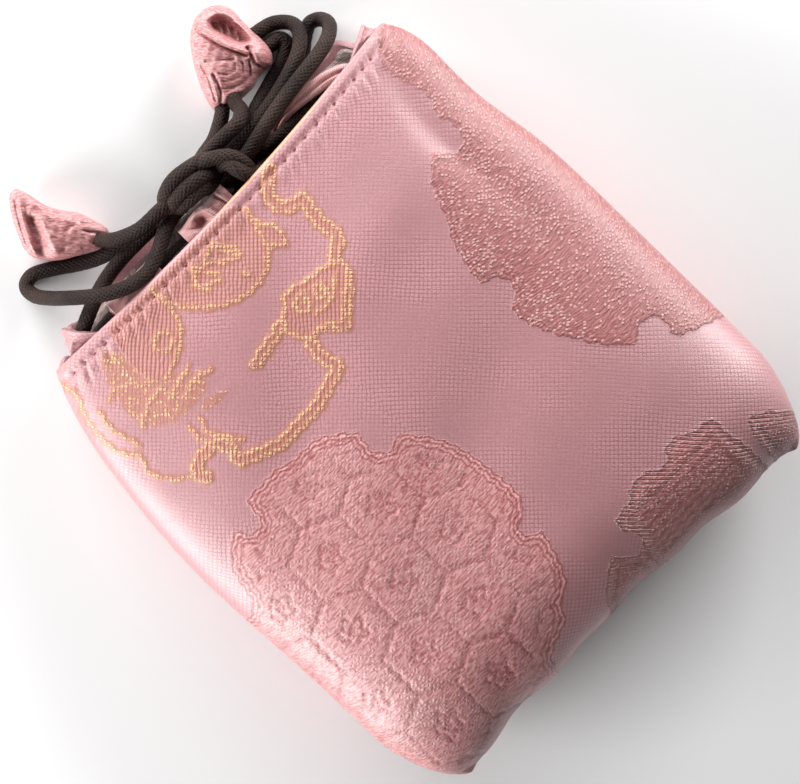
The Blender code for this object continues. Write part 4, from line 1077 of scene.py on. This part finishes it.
def cord_pieces(name, route, cuts=()):
    """A braided cord along a route, made in pieces that meet at the cuts.

    Two sets of low ridges, six waves each, wind round it both ways and cross in small diamonds. Besides the
    pieces it returns the path and the places of the cuts along it.
    """
    path = smooth_route(route, cord_step)
    ups, sideways = carried_along(path)
    angle = np.linspace(0, 2 * math.pi, 32, endpoint=False)
    steps = np.arange(len(path))[:, None]
    along = steps * cord_step / 0.0105 * 2 * math.pi * 6
    braid = np.maximum(np.cos(6 * angle + along), np.cos(6 * angle - along))
    radius = cord_diameter / 2 * (1 + 0.018 * braid)
    radius = radius * (1 + 0.02 * np.sin(steps * 0.021))
    rings = path[:, None] + radius[..., None] * (np.cos(angle)[None, :, None] * ups[:, None]
                                                 + np.sin(angle)[None, :, None] * sideways[:, None])
    places = [0, *(int(np.linalg.norm(path - np.array(cut), axis=1).argmin()) for cut in cuts), len(path) - 1]
    pieces = [swept(f"{name}_{number}", rings[start:end + 1], "braid", 1.0, cord_step)
              for number, (start, end) in enumerate(zip(places, places[1:]), 1)]
    for piece in pieces:
        piece.data.materials.append(cord_brown)
    return pieces, path, places


def cord_material(name):
    """Waxed polyester braid: dark strands with browner crowns, partly a painted highlight, fine fibres and a few
    worn light flecks.

    A crown is the higher of two cosine waves that wind round the cord both ways, eleven each. Its lighter
    brown is partly a painted highlight on the braid's ridges and partly uneven tone of fibres and wear.
    """
    made, tree, shader = new_finish(name)
    parts = made_node(tree, "ShaderNodeSeparateXYZ", made_node(tree, "ShaderNodeUVMap", uv_map="braid")).node
    round_it, along = parts.outputs[0], parts.outputs[1]
    braid = larger(tree, *(worked_out(tree, "COSINE", scaled(tree, round_it, 2 * math.pi * 11, product(
        tree, along, way * 2 * math.pi * 11 / 0.0115))) for way in (1, -1)))
    space = made_node(tree, "ShaderNodeTexCoord").node.outputs["Object"]
    fibre = noise(tree, space, 5200.0, 3.0, dimensions="3D")
    wear = noise(tree, space, 130.0, 3.0, dimensions="3D")
    # Lighter brown where the crown is high: a painted highlight on the braid's ridges, with uneven tone
    crown = added(tree, product(tree, braid, 0.22), product(tree, fibre, 1.3))
    crown = added(tree, crown, scaled(tree, wear, 0.8, -0.4))
    colour = mixed(tree, step_at(tree, crown, 0.45, 1.30), (0.008, 0.004, 0.003), (0.070, 0.039, 0.030))
    fleck = step_at(tree, added(tree, fibre, product(tree, wear, 0.5)), 1.02, 1.08)
    colour = mixed(tree, fleck, colour, (0.40, 0.30, 0.27))
    tree.links.new(colour, shader.inputs["Base Color"])
    tree.links.new(scaled(tree, fibre, 0.35, 0.30), shader.inputs["Roughness"])
    finished(tree, shader, {"Specular IOR Level": 0.18},
             scaled(tree, fibre, 0.9, product(tree, braid, 0.5)), 0.00016)
    return made


cord_brown = cord_material("waxed brown cord")
outer_cut, long_cut = (0.0005, 0.0665, 0.0096), (0.0010, 0.0640, 0.0124)        # all of them in the knot
short_cuts = [(0.0000, 0.0655, 0.0125), (0.0000, 0.0632, 0.0052)]
through_loops = ((0, 0.058, 0.0076), (0, 0.058, 0.0102))    # the back run stays and the front run lifts
with_front = ((0, 0.0800, 0.010), (0, 0.0720, 0.010))       # all of it lifts
stretches = {                   # route, nodes and cuts, then the place that stays and that lifts for each piece
    "inner_drawstring": (
        [(0.0015, 0.0645, 0.0125), *inner_run_route, (0.0010, 0.0625, 0.0098)],
        ["drawstring_inner_run"], [inner_run_route[4], inner_run_route[26]],
        [with_front, through_loops, with_front]),
    "outer_drawstring": (
        [*outer_run_route, (-0.0050, 0.0650, 0.0088), outer_cut, *tail_right_upper_route[::-1]],
        ["drawstring_outer_run", "tail_right_upper"], [outer_run_route[3], outer_run_route[16], outer_cut],
        [with_front, through_loops, ((-0.040, 0.06, 0.01), (-0.012, 0.06, 0.01)),
         ((0.0134, 0.0711, 0.006), (0.0050, 0.0676, 0.006))]),
    "long_bow_cord": (
        [*tail_left_route, (-0.0040, 0.0650, 0.0140), long_cut, *bow_right_long_route[::-1],
         (0.0000, 0.0643, 0.0088)],
        ["tail_left", "bow_loop_right_long"], [long_cut],
        [((-0.0232, 0.0709, 0.01), (-0.0100, 0.0655, 0.01)), ((0.022, 0.06, 0.01), (0.006, 0.06, 0.01))]),
    "short_bow_cord": (
        [*tail_right_lower_route, short_cuts[0], (-0.0050, 0.0635, 0.0120), *bow_left_route,
         (-0.0050, 0.0645, 0.0055), short_cuts[1], *bow_right_short_route[::-1], (0.0010, 0.0615, 0.0135)],
        ["tail_right_lower", "bow_loop_left", "bow_loop_right_short"], short_cuts,
        [((0.0170, 0.0700, 0.01), (0.0070, 0.0668, 0.01)), ((-0.026, 0.06, 0.01), (-0.008, 0.06, 0.01)),
         ((0.040, 0.06, 0.01), (0.009, 0.06, 0.01))]),
}
cords = {}
for name, (route, nodes, cuts, follows) in stretches.items():
    cords[name] = cord_pieces(name, route, cuts)
    for piece, (stays, lifts) in zip(cords[name][0], follows):
        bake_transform(piece)
    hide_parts(*nodes)


# Bow knot
# The same cord. Two strands sweep over the crossing side by side and turn down round its left end, and a
# third goes with the drawstring over the right of it.
knot_routes = [
    [(0.0005, 0.0650, 0.0085), (0.0040, 0.0660, 0.0130), (0.0034, 0.0666, 0.0160), (0.0000, 0.0674, 0.0178),
     (-0.0036, 0.0678, 0.0176), (-0.0066, 0.0672, 0.0156), (-0.0080, 0.0662, 0.0116), (-0.0064, 0.0644, 0.0078)],
    [(0.0010, 0.0630, 0.0090), (0.0042, 0.0628, 0.0128), (0.0032, 0.0634, 0.0160), (-0.0004, 0.0644, 0.0182),
     (-0.0040, 0.0648, 0.0178), (-0.0072, 0.0646, 0.0150), (-0.0082, 0.0640, 0.0110), (-0.0060, 0.0632, 0.0074)],
    [(0.0000, 0.0622, 0.0090), (0.0020, 0.0618, 0.0138), (0.0004, 0.0622, 0.0162), (-0.0024, 0.0625, 0.0170),
     (-0.0052, 0.0628, 0.0156), (-0.0072, 0.0632, 0.0124), (-0.0058, 0.0636, 0.0085)],
    [(-0.0010, 0.0668, 0.0150), (0.0026, 0.0660, 0.0172), (0.0056, 0.0650, 0.0180), (0.0082, 0.0628, 0.0180),
     (0.0092, 0.0600, 0.0166), (0.0090, 0.0578, 0.0140), (0.0080, 0.0562, 0.0110)],
]
turns = [cord_pieces(f"knot_strand_{number}", route)[0][0] for number, route in enumerate(knot_routes)]
for piece in turns:
    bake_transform(piece)
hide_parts("bow_knot")

# The cords are tied. The length of each of their pieces is worked out, and the short ones are passed over
shortest = 0.03
for name, (pieces, path, places) in cords.items():
    lengths = {piece: (end - start) * cord_step for piece, start, end in zip(pieces, places, places[1:])}
    for number, (piece, start, end) in enumerate(zip(pieces, places, places[1:])):
        if lengths[piece] < shortest:
            continue


# Buds
# Squares of the same brocade, folded over themselves into small buds, stuffed with a little wadding, and
# sewn round the cord ends.
bud_sides = 200
bud_right, bud_up = (np.array([math.cos(math.radians(angle)), math.sin(math.radians(angle))])
                     for angle in (-45.4, 44.6))            # the picture's right and up, degrees from X


def folded_bud(name, middle, outline, height, folds, hollow, hollow_depth, lift):
    """A stuffed bud lying on its side, as rings from the middle of its upper side, over its edge, to below.

    Its own X and Y lie along the picture's right and up, in millimetres from its middle. The upper side is a
    dome that is square with the edge: its height falls with the root of 1 less the way out to the power 2.6.
    Folds are ridges and creases along lines, each a bell in section, and the hollow is a dip with a steep
    rim. The under side is flatter, and from lift on it stays clear of the cords at the right.
    """
    turn = np.linspace(0, 2 * math.pi, bud_sides, endpoint=False)
    edge = rounded_line(outline, closed=True)[:-1]
    radius = np.interp(turn, np.arctan2(edge[:, 1], edge[:, 0]), np.hypot(edge[:, 0], edge[:, 1]),
                       period=2 * math.pi)
    upper = np.sin(np.linspace(0, math.pi / 2, 57))[1:, None]
    under = np.linspace(1, 0, 18)[1:-1, None]
    x, y = upper * radius * np.cos(turn), upper * radius * np.sin(turn)
    z = height * (0.42 + 0.58 * np.sqrt(1 - upper ** 2.6) + 0 * x)
    change = np.zeros_like(x)
    for line, width, rise in folds:
        change += rise * np.exp(-(line_distance(x, y, rounded_line(line)) / width) ** 2)
    if hollow:
        change -= hollow_depth * smooth((area_depth(x, y, hollow) + 0.3) / 1.7)
    change += 0.10 * np.sin(1.9 * x + 1.3 * y) * np.sin(1.1 * x - 2.3 * y)
    z = z + change * (1 - upper ** 7)
    below_x, below_y = under * radius * np.cos(turn), under * radius * np.sin(turn)
    below = height * 0.42 * (1 - np.sqrt(1 - under ** 4)) + 0 * below_x
    below += (0.39 * height - below) * smooth((below_x - lift) / 3.5)
    grid = np.stack([np.concatenate([x, below_x]), np.concatenate([y, below_y]), np.concatenate([z, below])],
                    axis=-1)
    count = len(grid)
    points = np.vstack([grid.reshape(-1, 3), (0, 0, z[0].mean()), (0, 0, below[-1].mean())])
    index = np.arange(count * bud_sides).reshape(count, bud_sides)
    after = np.roll(index, -1, axis=1)
    faces = np.stack([index[:-1], index[1:], after[1:], after[:-1]], axis=-1).reshape(-1, 4).tolist()
    faces += [[count * bud_sides, a, b] for a, b in zip(index[0], after[0])]
    faces += [[count * bud_sides + 1, b, a] for a, b in zip(index[-1], after[-1])]
    placed = np.zeros_like(points)
    placed[:, :2] = (np.array(middle) + points[:, :1] * bud_right + points[:, 1:2] * bud_up) / 1000
    placed[:, 2] = points[:, 2] / 1000 - min(points[:, 2].min() / 1000, 0) + 0.0001
    made = skin(name, placed, faces)
    out = travelled(np.concatenate([grid[:1] * 0 + points[-2], grid]))[1:] / 1000
    spread = np.concatenate([np.stack([out * np.cos(turn), out * np.sin(turn)], axis=-1).reshape(-1, 2),
                             [(0, 0), (0.03, 0)]])
    lay_map(made, spread, {mark: np.ones(len(points)) for mark in ("raised", "depth", "quiet", "pale")})
    made.data.materials.append(brocade)
    return made


left_outline = [
    (-9.7, 8.5), (-10.8, 7.4), (-11.0, 5.8), (-10.2, 1.6), (-8.9, -1.6), (-7.9, -4.2), (-6.3, -6.0), (-3.7, -6.8),
    (-1.1, -6.9), (1.1, -6.6), (4.7, -5.5), (8.4, -4.6), (9.5, -3.8), (10.2, -2.6), (10.4, -0.5), (8.9, 0.8),
    (6.3, 2.1), (3.7, 3.4), (0.5, 3.7), (-3.2, 4.7), (-5.8, 6.6), (-7.9, 8.1)]
left_folds = [
    ([(-9.6, 7.0), (-8.8, 2.4), (-7.3, -2.8), (-6.0, -5.6)], 0.45, -0.9),
    ([(-8.8, 6.6), (-7.9, 2.4), (-6.5, -2.4), (-5.3, -5.6)], 0.6, 0.8),
    ([(-6.0, 1.4), (-4.4, -2.4), (-3.0, -6.4)], 1.3, -1.7),
    ([(-3.6, 1.6), (-1.8, -2.2), (-0.4, -6.0)], 0.9, 0.5),
    ([(10.0, -0.6), (7.4, 0.6), (4.6, 0.9)], 0.35, -0.5), ([(10.0, -1.6), (7.6, -1.2), (5.2, -0.8)], 0.35, -0.5),
    ([(9.8, -2.6), (7.2, -3.2), (5.0, -4.4)], 0.35, -0.5), ([(9.0, -3.6), (7.0, -4.4)], 0.3, -0.4),
    ([(4.6, 2.6), (3.8, 0.8), (1.6, -0.6)], 0.5, -0.35), ([(5.2, -2.2), (2.8, -2.8), (1.0, -4.6)], 0.5, -0.35)]
left_bud = folded_bud("left_bud_cloth", (-27.6, 78.7), left_outline, 7.8, left_folds, None, 0, 30)
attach(left_bud, "left_bud")
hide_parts("petal_left")

right_outline = [
    (-1.6, 10.9), (-4.2, 10.0), (-5.8, 8.4), (-6.8, 6.3), (-7.1, 3.4), (-6.6, -0.5), (-5.5, -4.5), (-4.5, -7.6),
    (-3.4, -9.7), (-2.4, -11.3), (-0.8, -11.8), (1.0, -10.7), (3.1, -9.9), (5.2, -8.1), (6.6, -6.6), (7.5, -4.4),
    (8.6, -3.2), (10.1, -2.4), (10.5, -1.1), (10.4, 0.5), (9.4, 2.1), (7.9, 3.7), (6.3, 5.0), (4.2, 7.1),
    (2.6, 9.2), (0.8, 10.5)]
right_hollow = [(-3.5, 7.0), (-2.9, 5.0), (-0.8, 3.7), (1.3, 2.4), (4.2, 1.6), (6.3, 2.6), (5.8, 3.7), (4.2, 5.5),
                (2.1, 7.3), (0.5, 8.5), (-1.8, 8.4)]
right_folds = [
    ([(-5.2, 6.6), (-4.4, 5.0), (-1.8, 3.0), (0.8, 1.6), (3.7, 0.6), (5.2, 0.4)], 0.55, 0.9),
    ([(-5.7, 5.4), (-3.7, 3.6), (-0.8, 1.8), (2.1, 0.7), (5.0, -0.4)], 0.32, -1.3),
    ([(5.2, 1.2), (6.4, -1.0), (7.2, -2.4), (8.8, -2.6), (10.2, -2.5)], 0.40, -1.4),
    ([(7.8, 0.2), (8.0, -0.4)], 2.0, 0.9),
    ([(7.0, -2.2), (7.1, -4.4), (6.2, -6.4), (4.2, -7.8), (1.0, -8.3), (0.4, -10.4)], 0.40, 0.7),
    ([(5.6, -1.4), (6.0, -3.8), (5.2, -5.6), (3.0, -6.8), (0.2, -7.2)], 0.38, -0.75),
    ([(4.2, -1.8), (4.4, -3.8), (3.4, -5.0), (1.2, -5.8), (-0.8, -5.6)], 0.35, -0.5),
    ([(2.6, -2.2), (2.8, -3.4), (1.4, -4.3), (-0.6, -4.2)], 0.35, -0.4),
    ([(-3.4, -1.5), (-0.4, -1.4), (2.4, -1.0)], 0.5, -0.6),
    ([(-4.5, -2.4), (-2.6, -5.8), (-1.4, -9.7)], 0.38, -0.7),
    ([(-1.9, -4.5), (-0.2, -8.0), (-0.5, -11)], 0.38, -0.8),
    ([(-3.4, -4.6), (-1.7, -7.6), (-1.0, -10)], 0.4, 0.4), ([(-1.6, 7.6), (-0.2, 5.0)], 0.35, 0.5),
    ([(0.6, 7.6), (1.6, 4.2)], 0.35, 0.5), ([(2.4, 6.6), (3.4, 3.4)], 0.35, 0.45),
    ([(-0.5, 7.8), (0.6, 4.8)], 0.35, -0.35)]
right_bud = folded_bud("right_bud_cloth", (22.7, 79.8), right_outline, 9.4, right_folds, right_hollow, 3.4, 2.6)
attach(right_bud, "right_bud")
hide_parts("petal_right")


# Floor, camera and light
# A plain pale floor under the pouch. The camera looks straight down on it with the mouth at the upper left,
# and three large windows at the left, the mouth and the right give soft daylight.
floor = skin("floor", np.array([(-1.0, -1.0, 0.0), (1.0, -1.0, 0.0), (1.0, 1.0, 0.0), (-1.0, 1.0, 0.0)]),
             [(0, 1, 2, 3)])
floor.data.materials.append(plain_material("pale floor", (0.95, 0.95, 0.95), 0.9))

bearing, height, distance = math.radians(-45.4), math.radians(89), 1.1667
target = Vector((-0.0019, 0.0029, 0.014))
back = Vector((math.sin(bearing) * math.cos(height), -math.cos(bearing) * math.cos(height), math.sin(height)))
camera = bpy.data.objects.new("camera", bpy.data.cameras.new("camera"))
camera.data.lens = 250
camera.location = target + back * distance
camera.rotation_euler = (-back).to_track_quat("-Z", "Y").to_euler()
bpy.context.scene.collection.objects.link(camera)
bpy.context.scene.camera = camera

world = bpy.data.worlds.new("soft daylight")
world.use_nodes = True
world.node_tree.nodes["Background"].inputs["Color"].default_value = (1, 1, 1, 1)
world.node_tree.nodes["Background"].inputs["Strength"].default_value = 0.105
bpy.context.scene.world = world


def soft_light(name, place, wide, high, power):
    """A large light that points at the pouch."""
    lamp = bpy.data.objects.new(name, bpy.data.lights.new(name, "AREA"))
    lamp.data.shape = "RECTANGLE"
    lamp.data.size, lamp.data.size_y = wide, high
    lamp.data.energy = power
    lamp.location = place
    lamp.rotation_euler = (target - Vector(place)).to_track_quat("-Z", "Y").to_euler()
    bpy.context.scene.collection.objects.link(lamp)


soft_light("left window", (-0.66, 0.12, 0.18), 0.60, 0.25, 7.6)
soft_light("mouth window", (0.05, 0.65, 0.20), 0.60, 0.25, 5.9)
soft_light("right window", (0.60, 0.10, 0.18), 0.40, 0.25, 5.1)
bpy.context.scene.view_settings.view_transform = "Standard"
